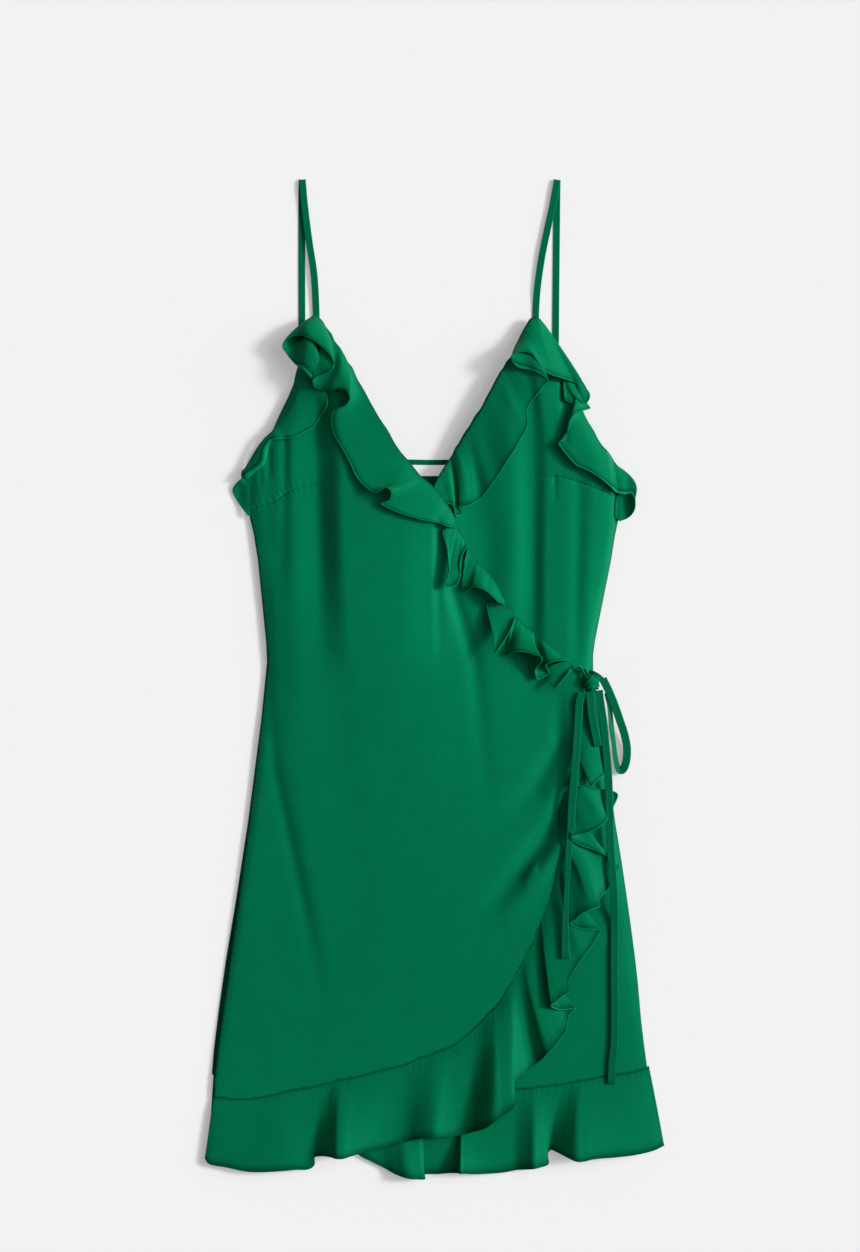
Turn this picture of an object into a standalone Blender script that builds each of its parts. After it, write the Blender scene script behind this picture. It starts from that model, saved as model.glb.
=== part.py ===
"""A sleeveless mini wrap dress in green crepe, laid out flat on its back.

The dress lies in the XY plane: X runs across it, Y from the hem up to the straps, Z up from the
surface it lies on. Each cut piece is one closed sheet of cloth with a real wall, and the pieces lie
on each other in the order a real dress does: back, under front, over front, ruffles, ties.
Lengths below are millimetres; MM turns them into metres.
"""

import math

import bpy
import numpy as np
from mathutils.geometry import delaunay_2d_cdt

for old in list(bpy.data.objects):
    bpy.data.objects.remove(old, do_unlink=True)

MM = 0.001
WALL = 1.0  # thickness of one layer of cloth
SEAM_GAP = 0.3  # clearance between two layers where they lie on each other
SEWN_GAP = 0.5  # clearance between a panel's edge and the ruffle sewn to it
LAYER = WALL + SEAM_GAP  # one layer of cloth lying on another
BACK_Z = WALL / 2  # middle of the back's cloth
UNDER_Z = BACK_Z + LAYER  # middle of the under front's cloth
OVER_Z = UNDER_Z + LAYER  # middle of the over front's cloth
RUFFLE_CLEAR = 1.1  # extra room between a ruffle and the panel below it
OVERHANG_DROP = 3.0  # how far a ruffle drops where it hangs past its panel
OVERHANG_REACH = 12.0
EDGE_CLEAR = 0.9  # how much the wrap's edge ruffle lifts off as it leaves its seam
HIDDEN_DROP = 1.6  # how much lower the under front's ruffle lies where the over front covers it
NET_ACROSS = 15.0  # spacing of the net of corners that the two fronts share
NET_ALONG = 34.0
STEPS = 2  # stations between two rows of a ruffle table
ACROSS = 4  # strips across a ruffle, from its seam to its free edge
HEM_Y = -377.0  # seam of the back's hem ruffle
BACK_RUFFLE_DEPTH = 66.0
STRAP_WIDTH = 6.4
STRAP_TOP_Y = 473.0
CORD_WIDTH = 5.0
TIE_WIDTH = 7.6
TIE_WALL = 1.6

CREPE = (0.002, 0.160, 0.072)
RUFFLE_CREPE = (0.002, 0.170, 0.078)
ROULEAU = (0.002, 0.140, 0.064)

# Outlines, as (x, y) corners in order. The over front is the wearer's right front and lies on top.
OVER_ARMHOLE = [(-175, 152), (-174, 198), (-171, 209), (-153, 236), (-134, 277), (-131, 289),
    (-122, 329), (-118, 338)]
OVER_NECK = [(-111, 340), (-106, 335), (-90, 311), (-60, 258), (-31, 212), (-13, 190), (4, 174),
    (33, 123), (51, 99), (68, 68), (78, 55), (90, 44), (118, 19), (141, 3)]
OVER_SIDE = [(-209, -382), (-176, -137), (-158, 15), (-168, 112), (-171, 136)]
UNDER_SIDE = [(174, 149), (152, 36), (151, 22), (151, 6), (159, -40), (171, -137), (186, -230),
    (202, -370)]
UNDER_WAIST = [(-143, -21), (-139, 2), (-91, 46), (-60, 83), (-34, 121), (-5, 173)]
UNDER_NECK = [(4, 188), (45, 255), (72, 301), (89, 336), (94, 340)]
UNDER_ARMHOLE = [(99, 340), (124, 304), (130, 294), (134, 283), (138, 254), (151, 232), (169, 206),
    (173, 188), (174, 160)]
BACK_SIDE = [(-173, 151), (-169, 120), (-160, 36), (-159, 15), (-165, -41), (-177, -137), (-205, -314),
    (-211, -374)]
BACK_TOP = [(175, 150), (172, 163), (159, 178), (119, 191), (0, 192), (-126, 191), (-156, 179),
    (-170, 164)]

# Ruffle tables, one row per crest, valley or turn of the free edge. Columns:
#   seam x, seam y | belly x, belly y, belly lift | edge x, edge y, edge lift
# The belly is the point half-way down the ruffle. Lifts are above the layer the ruffle lies on.
# The neckline ruffle of the over front: from the underarm over the strap point to the waist knot.
OVER_RUFFLE = [
    (-173, 153, -176, 154, 0.3, -179, 156, 0.6),
    (-174, 171, -184, 176, 0, -192, 179, 0.2),
    (-174, 180, -181, 184, 1, -185, 188, 3.5),
    (-173, 189, -183, 195, 3.5, -178, 189, 8),
    (-170, 208, -173, 209, 3.5, -161, 203, 4.5),
    (-158, 228, -160, 228, 3, -155, 224, 3.5),
    (-139, 266, -132, 248, 2, -124, 232, 2.5),
    (-130, 294, -115, 276, 3.5, -101, 259, 3),
    (-128, 302, -112, 290, 2, -103, 271, 1.5),
    (-125, 315, -113, 314, 11.5, -119, 286, 10),
    (-124, 323, -133, 315, 11, -132, 297, 12),
    (-122, 331, -140, 320, 12.5, -143, 314, 14),
    (-120, 337, -130, 332, 13.5, -135, 323, 16),
    (-116, 343, -118, 332, 12, -116, 320, 14.5),
    (-106, 338, -97, 314, 8, -95, 296, 11.5),
    (-103, 333, -98, 308, 7.5, -98, 290, 10.5),
    (-97, 325, -111, 304, 8.5, -114, 282, 10),
    (-92, 316, -98, 289, 5, -108, 273, 6.5),
    (-82, 299, -79, 279, 9, -83, 271, 10),
    (-78, 294, -78, 274, 7, -80, 264, 10.5),
    (-60, 260, -78, 248, 1, -98, 244, 2),
    (-52, 246, -73, 235, 0.5, -95, 230, 1),
    (-32, 214, -51, 199, 1, -74, 190, 2.5),
    (-21, 201, -40, 186, 3.5, -56, 175, 8),
    (-17, 196, -35, 184, 4.5, -47, 180, 12),
    (-13, 191, -29, 181, 5, -41, 176, 13),
    (-4, 184, -24, 173, 2, -51, 165, 4),
    (4, 176, -10, 162, 2, -25, 153, 4),
    (18, 154, 19, 147, 2.5, 21, 142, 4.5),
    (19, 150, 16, 143, 1, 8, 140, 1.5),
    (23, 141, 16, 113, 5.5, 12, 86, 10),
    (25, 137, 23, 116, 6, 24, 94, 10.5),
    (30, 128, 31, 126, 3, 31, 124, 6),
    (36, 119, 31, 103, 0.4, 26, 86, 0.4),
    (47, 104, 46, 94, 6, 43, 85, 11),
    (66, 74, 66, 71, 3, 66, 69, 6),
    (68, 71, 59, 70, 0.6, 50, 71, 0.8),
    (72, 65, 63, 45, 5.5, 56, 22, 10.5),
    (76, 60, 76, 58, 3, 75, 56, 6),
    (78, 57, 73, 39, 0.6, 68, 21, 1),
    (82, 53, 80, 38, 6, 80, 25, 11),
    (90, 46, 95, 31, 9, 101, 20, 16),
    (95, 42, 96, 21, 1.5, 97, -1, 4),
    (97, 40, 102, 24, 1.5, 108, 4, 3),
    (102, 36, 105, 25, 6.5, 108, 14, 12),
    (120, 21, 124, 19, 3.5, 127, 17, 8),
    (124, 18, 117, 14, 1, 108, 10, 1),
    (128, 15, 117, 6, 3, 107, -5, 5.5),
    (129, 14, 120, 3, 4.5, 113, -10, 8.5),
    (137, 9, 136, 10, 4, 137, 12, 7),
    (141, 7, 142, 5, 3, 143, 2, 4),
]
# The neckline ruffle of the under front: from below the over front over the strap point to the underarm.
UNDER_RUFFLE = [
    (-8, 172, -4, 168, 0.2, 1, 163, 0.3),
    (3, 190, 9, 178, 2, 14, 165, 1.5),
    (13, 206, 19, 186, 1.5, 20, 153, 0.6),
    (15, 209, 21, 186, 1.5, 26, 155, 0.6),
    (17, 212, 22, 188, 5, 23, 162, 4),
    (28, 232, 38, 200, 3, 43, 169, 5),
    (38, 248, 51, 218, 3, 60, 191, 6.5),
    (58, 283, 73, 259, 4.5, 86, 233, 9),
    (65, 294, 77, 273, 4, 87, 252, 7),
    (69, 301, 83, 283, 6, 97, 268, 7),
    (71, 303, 98, 294, 9, 107, 281, 10.5),
    (74, 308, 80, 307, 10.5, 78, 294, 11),
    (76, 314, 75, 310, 10, 74, 305, 13),
    (81, 324, 87, 315, 10, 92, 306, 13),
    (87, 335, 95, 314, 8, 102, 292, 11.5),
    (94, 342, 107, 314, 6.5, 119, 284, 9),
    (103, 337, 123, 306, 7, 139, 277, 9.5),
    (111, 326, 133, 292, 7.5, 147, 265, 12),
    (114, 320, 132, 286, 8, 143, 260, 11),
    (122, 309, 122, 283, 2, 129, 268, 2.5),
    (126, 303, 123, 279, 2.5, 123, 264, 3),
    (131, 294, 137, 275, 5, 148, 256, 6),
    (135, 281, 132, 260, 4, 127, 241, 6),
    (139, 259, 132, 245, 3, 117, 222, 5),
    (141, 252, 133, 238, 3, 120, 217, 5),
    (151, 234, 146, 218, 3, 134, 201, 4.5),
    (165, 214, 164, 200, 4, 159, 187, 5.5),
    (171, 202, 177, 195, 5, 172, 176, 7),
    (174, 191, 188, 189, 7, 186, 175, 8.5),
    (172, 171, 184, 164, 2.2, 190, 161, 9),
    (171, 152, 174, 150, 1.5, 176, 149, 1.5),
]
# The wrap edge and hem ruffle of the over front: from the knot down the wrap and round to the side seam.
EDGE_RUFFLE = [
    (146, -11, 151, -15, 1.5, 155, -19, 2),
    (137, -61, 149, -76, 5, 161, -90, 8.5),
    (134, -70, 141, -86, 5, 148, -102, 10),
    (133, -75, 137, -82, 2, 141, -87, 2.5),
    (131, -90, 150, -105, 1.5, 174, -110, 1.5),
    (129, -98, 141, -120, 5, 156, -141, 9),
    (119, -122, 150, -155, 1, 175, -179, 1),
    (118, -146, 138, -177, 7, 156, -216, 12),
    (115, -185, 137, -212, 2, 157, -239, 5),
    (114, -192, 136, -218, 2.5, 154, -245, 5),
    (108, -213, 121, -246, 5, 128, -284, 10),
    (105, -219, 115, -255, 6, 127, -297, 11),
    (102, -227, 104, -264, 5.5, 110, -310, 12),
    (99, -235, 110, -277, 0.8, 134, -313, 3.5),
    (88, -259, 96, -304, 5, 113, -350, 10),
    (79, -276, 86, -319, 0.8, 96, -366, 2),
    (69, -294, 74, -338, 6.5, 73, -388, 12),
    (63, -304, 67, -352, 9, 74, -406, 18),
    (56, -313, 57, -363, 11, 56, -419, 22),
    (36, -333, 34, -382, 2.2, 30, -432, 4.5),
    (0, -355, -3, -395, 6.5, -6, -435, 13),
    (-37, -369, -44, -407, 2.2, -49, -446, 4),
    (-81, -380, -86, -416, 9.5, -87, -454, 19),
    (-104, -385, -110, -420, 0.8, -114, -455, 1),
    (-119, -389, -122, -426, 1.5, -120, -466, 2.8),
    (-154, -396, -158, -431, 3, -158, -468, 6),
    (-210, -398, -214, -428, 0.4, -218, -456, 0.6),
]
# The hem ruffle of the under front: from the side seam across the hem and, hidden, up to the waist.
HEM_RUFFLE = [
    (204, -370, 211, -406, 0.4, 218, -444, 0.8),
    (183, -375, 189, -413, 3.2, 191, -452, 6.5),
    (139, -382, 135, -418, 9, 134, -457, 18),
    (124, -385, 115, -416, 0.6, 110, -448, 0.6),
    (110, -387, 105, -421, 2, 108, -461, 3.5),
    (95, -389, 94, -422, 5, 94, -465, 10),
    (70, -391, 68, -427, 1.2, 67, -469, 2.5),
    (27, -394, 25, -431, 3.6, 24, -469, 15),
    (24, -394, 23, -431, 0.6, 23, -470, 2),
    (-4, -395, -7, -430, 0.3, -8, -471, 0.3),
    (-13, -395, -14, -432, 2.2, -9, -475, 6),
    (-26, -392, -29, -432, 3.8, -25, -474, 11),
    (-35, -389, -38, -429, 2.4, -36, -471, 6),
    (-67, -363, -76, -405, 0.3, -74, -451, 0.4),
    (-90, -327, -112, -357, 0, -127, -387, 0),
    (-99, -303, -125, -325, 0, -145, -346, 0),
    (-115, -241, -143, -249, 0, -165, -256, 0),
    (-128, -159, -150, -160, 0, -167, -161, 0),
    (-141, -32, -146, -32, 0, -151, -32, 0),
]

# The rounded body of the dress, section by section. Columns: y | then x and lift eleven times, at the
# left side, its roll, the foot and top of the bust fold, the left bust, the hollow between, the right
# bust, the right fold, the right shelf, the right roll and the right side.
BODY = [
    (359, -128, 0, -122, 2, -114, 2.5, -95, 3, -33, 3,
     5, 3, 62, 3, 90, 3.5, 97, 2.5, 101, 1.5, 105, 0),
    (264, -143, 0, -132, 5.5, -117, 7, -87, 14.5, -33, 16,
     5, 9, 67, 11.5, 96, 10, 121, 9.5, 132, 7, 140, 0),
    (169, -175, 0, -158, 4.5, -116, 8, -82, 19.5, -33, 21,
     38, 8, 73, 12, 100, 10.5, 146, 12.5, 168, 9, 173, 0),
    (112, -171, 0, -153, 5, -115, 8, -80, 18.5, -33, 20,
     47, 7.5, 73, 11.5, 99, 10.5, 142, 12.5, 162, 9, 168, 0),
    (74, -166, 0, -151, 5.5, -115, 8.5, -78, 17.5, -33, 19,
     43, 8, 72, 11.5, 99, 10, 138, 12, 154, 8.5, 160, 0),
    (-2, -160, 0, -147, 4.5, -111, 9, -68, 13, -33, 15,
     34, 12.5, 67, 11, 99, 10, 133, 10, 144, 7, 152, 0),
    (-59, -168, 0, -154, 4, -102, 9, -58, 11.5, -14, 13,
     39, 12, 67, 11.5, 101, 10.5, 134, 11, 153, 6, 163, 0),
    (-116, -174, 0, -154, 3.5, -93, 8.5, -49, 10.5, -4, 11.5,
     41, 11, 67, 10.5, 100, 10, 148, 8.5, 161, 5, 169, 0),
    (-173, -182, 0, -145, 3.5, -89, 7.5, -45, 9, 5, 10,
     41, 10, 67, 9.5, 105, 9, 157, 7, 169, 4, 177, 0),
    (-230, -190, 0, -135, 4, -85, 7, -42, 8, 5, 8.5,
     41, 8.5, 72, 8, 114, 7.5, 162, 5.5, 176, 3, 186, 0),
    (-306, -201, 0, -123, 4, -80, 6, -38, 6.5, 5, 6.5,
     43, 6.5, 72, 6, 119, 6, 171, 4, 186, 2.5, 195, 0),
    (-382, -212, 0, -137, 3, -76, 4, -28, 4, 15, 4,
     43, 4, 72, 3.5, 124, 4, 181, 2.5, 195, 1.5, 205, 0),
    (-486, -223, 0, -137, 0, -76, 0, -28, 0, 15, 0,
     43, 0, 72, 0, 124, 0.5, 195, 0, 214, 0, 224, 0),
]
# Folds that run to the knot. Columns: start x, start y, end x, end y, half width, lift.
FOLDS = [
    (125, -21, 94, -106, 9, -3.0),
    (120, -115, 85, -177, 10, -4.0),
    (85, -177, 47, -222, 12, -2.5),
    (17, 84, 43, -40, 8, -2.0),
]
FOLD_FADE = 12.0  # folds die out this close to the sides
COVER_LIFT = (10, 166, 26, 6.0)  # x, y, radius, lift where the over front climbs over the under ruffle


def smooth(t):
    t = np.clip(t, 0.0, 1.0)
    return t * t * (3.0 - 2.0 * t)


def segment_distance(x, y, x0, y0, x1, y1):
    """Distance from points to one straight segment."""
    dx, dy = x1 - x0, y1 - y0
    t = np.clip(((x - x0) * dx + (y - y0) * dy) / (dx * dx + dy * dy), 0.0, 1.0)
    return np.hypot(x - x0 - t * dx, y - y0 - t * dy)


def outline_distance(x, y, outline):
    """Distance to a closed outline, positive inside it and negative outside."""
    far = np.full(np.shape(x), 1.0e9)
    inside = np.zeros(np.shape(x), bool)
    for (x0, y0), (x1, y1) in zip(outline, np.roll(outline, -1, axis=0)):
        far = np.minimum(far, segment_distance(x, y, x0, y0, x1, y1))
        if y0 != y1:
            crosses = (y0 > y) != (y1 > y)
            inside ^= crosses & (x < x0 + (y - y0) * (x1 - x0) / (y1 - y0))
    return np.where(inside, far, -far)


def folds(x, y, table):
    total = np.zeros(np.shape(x))
    for x0, y0, x1, y1, half_width, lift in table:
        total += lift * np.exp(-((segment_distance(x, y, x0, y0, x1, y1) / half_width) ** 2))
    return total


def stations(rows, steps):
    """A smooth curve through the rows of a table, in every column at once."""
    rows = np.array(rows, float)
    ends = np.vstack([2 * rows[0] - rows[1], rows, 2 * rows[-1] - rows[-2]])
    found = []
    for i in range(1, len(ends) - 2):
        a, b, c, d = ends[i - 1 : i + 3]
        for k in range(steps):
            t = k / steps
            bend = (2 * a - 5 * b + 4 * c - d) * t + (3 * b - a - 3 * c + d) * t * t
            found.append(b + 0.5 * t * ((c - a) + bend))
    found.append(ends[-2])
    return np.array(found)


def overhang(x, y, outline):
    """How far a ruffle drops where it hangs past the edge of its front."""
    return OVERHANG_DROP * smooth(-outline_distance(x, y, outline) / OVERHANG_REACH)


def cloth_material(name, colour, roughness):
    material = bpy.data.materials.new(name)
    material.use_nodes = True
    shader = material.node_tree.nodes["Principled BSDF"]
    shader.inputs["Base Color"].default_value = (*colour, 1.0)
    shader.inputs["Roughness"].default_value = roughness
    shader.inputs["Metallic"].default_value = 0.0
    material.diffuse_color = (*colour, 1.0)
    return material


def add_object(name, points, faces, colour, roughness=0.6):
    """One closed body from points in millimetres, its faces turned outwards."""
    points = np.array(points, float)
    corners = [points[[f[0], f[k], f[k + 1]]] for f in faces for k in range(1, len(f) - 1)]
    if np.linalg.det(np.array(corners)).sum() < 0:
        faces = [tuple(reversed(f)) for f in faces]
    mesh = bpy.data.meshes.new(name)
    mesh.from_pydata((points * MM).tolist(), [], [tuple(int(i) for i in f) for f in faces])
    mesh.materials.append(cloth_material(name, colour, roughness))
    obj = bpy.data.objects.new(name, mesh)
    bpy.context.scene.collection.objects.link(obj)
    return obj


def divided(outline, longest):
    """The same outline with its long sides divided."""
    found = []
    for (x0, y0), (x1, y1) in zip(outline, np.roll(outline, -1, axis=0)):
        parts = max(1, math.ceil(math.hypot(x1 - x0, y1 - y0) / longest))
        for k in range(parts):
            found.append((x0 + (x1 - x0) * k / parts, y0 + (y1 - y0) * k / parts))
    return found


def net_of(outlines, across, along):
    """One net of flat triangles for panels that lie on each other, so that their facets match."""
    flat, edges = [], []
    for outline in outlines:
        rim = divided(outline, along)
        start = len(flat)
        edges += [(start + i, start + (i + 1) % len(rim)) for i in range(len(rim))]
        flat += rim
    low, high = np.min(flat, axis=0), np.max(flat, axis=0)
    grid_x, grid_y = np.meshgrid(np.arange(low[0], high[0], across), np.arange(low[1], high[1], along))
    grid_x[1::2] += across / 2
    inside = np.zeros(grid_x.shape, bool)
    clear = np.ones(grid_x.shape, bool)
    for outline in outlines:
        far = outline_distance(grid_x, grid_y, np.array(outline))
        inside |= far > 0
        clear &= np.abs(far) > across * 0.5
    keep = inside & clear
    flat += list(zip(grid_x[keep].tolist(), grid_y[keep].tolist()))
    made = delaunay_2d_cdt(flat, edges, [], 1, 1e-6)
    return np.array([tuple(v) for v in made[0]]), np.array([tuple(f) for f in made[2]])


def net_height(x, y, net, height):
    """Height of the net's facets at points, or the smooth height where the net has none."""
    corners, triangles = net
    lift = height(corners[:, 0], corners[:, 1])
    found = height(x, y)
    for a, b, c in triangles:
        (ax, ay), (bx, by), (cx, cy) = corners[a], corners[b], corners[c]
        twice = (bx - ax) * (cy - ay) - (cx - ax) * (by - ay)
        u = ((x - ax) * (cy - ay) - (cx - ax) * (y - ay)) / twice
        v = ((bx - ax) * (y - ay) - (x - ax) * (by - ay)) / twice
        within = (u >= 0) & (v >= 0) & (u + v <= 1)
        found = np.where(within, lift[a] + u * (lift[b] - lift[a]) + v * (lift[c] - lift[a]), found)
    return found


def panel(name, net, outline, height, colour):
    """The part of a net inside one outline, lifted by height(x, y), with WALL thickness."""
    corners, triangles = net
    middles = corners[triangles].mean(axis=1)
    triangles = triangles[outline_distance(middles[:, 0], middles[:, 1], np.array(outline)) > 0]
    used, triangles = np.unique(triangles, return_inverse=True)
    flat, triangles = corners[used], triangles.reshape(-1, 3)
    z = height(flat[:, 0], flat[:, 1])
    count = len(flat)
    points = np.vstack([np.column_stack([flat, z + WALL / 2]), np.column_stack([flat, z - WALL / 2])])
    sides = {(int(f[i]), int(f[(i + 1) % 3])) for f in triangles for i in range(3)}
    walls = sorted((b, a, a + count, b + count) for a, b in sides if (b, a) not in sides)
    faces = [tuple(f) for f in triangles.tolist()]
    faces += [tuple(i + count for i in reversed(f)) for f in faces] + walls
    return add_object(name, points, faces, colour)


def closed_grid(name, middle, wall, colour):
    """A grid of middle points (stations, across, xyz) made a closed sheet of the given wall."""
    along = np.gradient(middle, axis=0)
    over = np.gradient(middle, axis=1)
    normal = np.cross(along, over)
    normal /= np.maximum(np.linalg.norm(normal, axis=2, keepdims=True), 1e-9)
    rows, columns = middle.shape[:2]
    shift = normal * wall / 2
    points = np.vstack([(middle + shift).reshape(-1, 3), (middle - shift).reshape(-1, 3)])
    under = rows * columns

    def at(i, j, side=0):
        return i * columns + j + side * under

    faces = []
    for i in range(rows - 1):
        for j in range(columns - 1):
            faces.append((at(i, j), at(i + 1, j), at(i + 1, j + 1)))
            faces.append((at(i, j), at(i + 1, j + 1), at(i, j + 1)))
            faces.append((at(i, j, 1), at(i + 1, j + 1, 1), at(i + 1, j, 1)))
            faces.append((at(i, j, 1), at(i, j + 1, 1), at(i + 1, j + 1, 1)))
    for i in range(rows - 1):
        for j, flip in ((0, False), (columns - 1, True)):
            side = (at(i, j), at(i, j, 1), at(i + 1, j, 1), at(i + 1, j))
            faces.append(tuple(reversed(side)) if flip else side)
    for j in range(columns - 1):
        for i, flip in ((0, True), (rows - 1, False)):
            side = (at(i, j), at(i, j, 1), at(i, j + 1, 1), at(i, j + 1))
            faces.append(tuple(reversed(side)) if flip else side)
    return add_object(name, points, faces, colour)


def ruffle(name, table, base, seam_shift, across):
    """A gathered strip from its table. base(x, y) is the middle height of a layer lying flat there."""
    rows = stations(table, STEPS)
    seam, belly, edge = rows[:, 0:2], rows[:, 2:5], rows[:, 5:8]
    run = np.gradient(seam, axis=0)
    run /= np.maximum(np.linalg.norm(run, axis=1, keepdims=True), 1e-6)
    away = np.column_stack([-run[:, 1], run[:, 0]])
    away *= np.sign(np.sum(away * (edge[:, :2] - seam), axis=1))[:, None]
    start = np.column_stack([seam + away * seam_shift, np.zeros(len(seam))])
    turn = 2 * belly - (start + edge) / 2
    t = np.linspace(0, 1, across + 1)[None, :, None]
    middle = (1 - t) ** 2 * start[:, None] + 2 * t * (1 - t) * turn[:, None] + t**2 * edge[:, None]
    middle[:, :, 2] = np.maximum(middle[:, :, 2], 0) + base(middle[:, :, 0], middle[:, :, 1])
    return closed_grid(name, middle, WALL, RUFFLE_CREPE)


def band(name, path, width, wall, colour, sides=6, roll=0.0):
    """A flat tube of cloth along a path of (x, y, z), turned about it by roll degrees."""
    path = np.array(path, float)
    widths = np.broadcast_to(np.asarray(width, float), len(path))
    turned = np.radians(np.broadcast_to(np.asarray(roll, float), len(path)))[:, None]
    run = np.gradient(path, axis=0)
    run /= np.linalg.norm(run, axis=1, keepdims=True)
    broad = np.cross((0.0, 0.0, 1.0), run)
    size = np.linalg.norm(broad, axis=1)
    for i in np.argsort(-size):
        if size[i] < 0.5:
            near = i - 1 if i > 0 and size[i - 1] >= 0.5 else min(i + 1, len(path) - 1)
            broad[i] = broad[near] - np.dot(broad[near], run[i]) * run[i]
    broad /= np.linalg.norm(broad, axis=1, keepdims=True)
    for i in range(1, len(path)):
        if np.dot(broad[i], broad[i - 1]) < 0:
            broad[i] = -broad[i]
    narrow = np.cross(run, broad)
    broad, narrow = (broad * np.cos(turned) + narrow * np.sin(turned),
                     narrow * np.cos(turned) - broad * np.sin(turned))
    if sides == 4:
        shape = [(0.5, 0.5), (-0.5, 0.5), (-0.5, -0.5), (0.5, -0.5)]
    else:
        turns = [2 * math.pi * k / sides for k in range(sides)]
        shape = [(0.5 * math.cos(a), 0.5 * math.sin(a) / math.sin(turns[1])) for a in turns]
    points = []
    for centre, b, n, w in zip(path, broad, narrow, widths):
        points += [centre + b * u * w + n * v * wall for u, v in shape]
    faces = []
    for i in range(len(path) - 1):
        for k in range(sides):
            a, b = i * sides + k, i * sides + (k + 1) % sides
            faces.append((a, b, b + sides, a + sides))
    faces.append(tuple(reversed(range(sides))))
    faces.append(tuple(range((len(path) - 1) * sides, len(path) * sides)))
    return add_object(name, points, faces, colour)


edge_seam = stations(EDGE_RUFFLE, STEPS)[:, :2].tolist()
hem_seam = stations(HEM_RUFFLE, STEPS)[:, :2].tolist()
OVER = OVER_ARMHOLE + OVER_NECK + edge_seam + OVER_SIDE
UNDER = UNDER_SIDE + hem_seam + UNDER_WAIST[1:] + UNDER_NECK + UNDER_ARMHOLE
BACK = BACK_SIDE + [(-211, HEM_Y), (203, HEM_Y)] + UNDER_SIDE[::-1] + BACK_TOP
sections = stations(BODY, 4)[::-1]


def body(x, y):
    """How far the two fronts stand above lying flat: both follow it, so they lie on each other."""
    x, y = np.asarray(x, float), np.asarray(y, float)
    rows = np.stack([np.interp(y, sections[:, 0], column) for column in sections[:, 1:].T], axis=-1)
    place, lift = rows[..., 0::2], rows[..., 1::2]
    found = np.zeros(np.shape(x))
    for k in range(place.shape[-1] - 1):
        width = np.maximum(place[..., k + 1] - place[..., k], 1e-6)
        t = (x - place[..., k]) / width
        rise = lift[..., k] + (lift[..., k + 1] - lift[..., k]) * smooth(t)
        found = np.where((t >= 0) & (t <= 1), rise, found)
    inner = smooth(np.minimum(x - place[..., 0], place[..., -1] - x) / FOLD_FADE)
    return np.maximum(0.0, found + inner * folds(x, y, FOLDS))


def back_height(x, y):
    return np.full(np.shape(x), BACK_Z)


def under_height(x, y):
    return UNDER_Z + body(x, y)


def over_height(x, y):
    climb = COVER_LIFT[3] * np.exp(-((np.hypot(x - COVER_LIFT[0], y - COVER_LIFT[1]) / COVER_LIFT[2]) ** 2))
    return OVER_Z + body(x, y) + climb


fronts = net_of([OVER, UNDER], NET_ACROSS, NET_ALONG)


def on_over(x, y):
    room = LAYER + RUFFLE_CLEAR - overhang(x, y, np.array(OVER))
    return net_height(x, y, fronts, over_height) + room


def on_under(x, y):
    room = LAYER + RUFFLE_CLEAR - overhang(x, y, np.array(UNDER))
    return net_height(x, y, fronts, under_height) + room


def at_over_edge(x, y):
    leaving = smooth(-outline_distance(x, y, np.array(OVER)) / OVERHANG_REACH)
    return net_height(x, y, fronts, under_height) + LAYER + EDGE_CLEAR * leaving


def at_under_edge(x, y):
    covered = smooth(outline_distance(x, y, np.array(OVER)) / OVERHANG_REACH)
    return np.maximum(UNDER_Z, net_height(x, y, fronts, under_height) - HIDDEN_DROP * covered)


# The panels.
panel("back_panel", net_of([BACK], 90, 60), BACK, back_height, CREPE)
panel("under_front", fronts, UNDER, under_height, CREPE)
panel("over_front", fronts, OVER, over_height, CREPE)

# The ruffles. Those on the necklines fall back over the panel; the other two run on from its edge.
ruffle("under_neck_ruffle", UNDER_RUFFLE, on_under, 0.0, ACROSS)
ruffle("under_hem_ruffle", HEM_RUFFLE, at_under_edge, SEWN_GAP, ACROSS)
ruffle("over_neck_ruffle", OVER_RUFFLE, on_over, 0.0, ACROSS)
ruffle("over_edge_ruffle", EDGE_RUFFLE, at_over_edge, SEWN_GAP, ACROSS)
back_rows = [
    (x, HEM_Y - SEWN_GAP, x * 1.01, HEM_Y - BACK_RUFFLE_DEPTH / 2, 0.0,
     x * 1.02, HEM_Y - BACK_RUFFLE_DEPTH, 0.0)
    for x in (-210, -140, -70, 0, 70, 140, 202)
]
ruffle("back_hem_ruffle", back_rows, back_height, 0.0, 2)

# The straps: each runs up from the back's top edge, folds over at the top and comes down to its
# strap point.
# Columns: x, y, z.
RIGHT_STRAP = [(-126, 193, 0.5), (-126, 330, 0.5), (-126, 462, 0.5), (-125.8, 472, 0.6),
               (-125.7, STRAP_TOP_Y, 1.4), (-125.5, 472, 2.3), (-123.5, 450, 2.6), (-119, 414, 2.8),
               (-114.5, 384, 2.8), (-112.5, 345.5, 3.2)]
LEFT_STRAP = [(114.5, 193, 0.5), (115, 330, 0.5), (116.3, 462, 0.5), (116.5, 472, 0.6),
              (116.6, STRAP_TOP_Y, 1.4), (116.4, 472, 2.3), (112, 448, 2.6), (107.4, 427, 2.6),
              (101.7, 399, 2.7), (97.4, 368, 2.8), (96.4, 345.5, 2.8)]
BACK_CORD = [(-122.4, 207, 0.5), (-60, 206, 0.5), (0, 204.8, 0.5), (60, 206, 0.5), (111.2, 207, 0.5)]
band("right_strap", RIGHT_STRAP, STRAP_WIDTH, WALL, ROULEAU, 4)
band("left_strap", LEFT_STRAP, STRAP_WIDTH, WALL, ROULEAU, 4)
band("back_cord", BACK_CORD, CORD_WIDTH, WALL, ROULEAU, 4)

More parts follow.
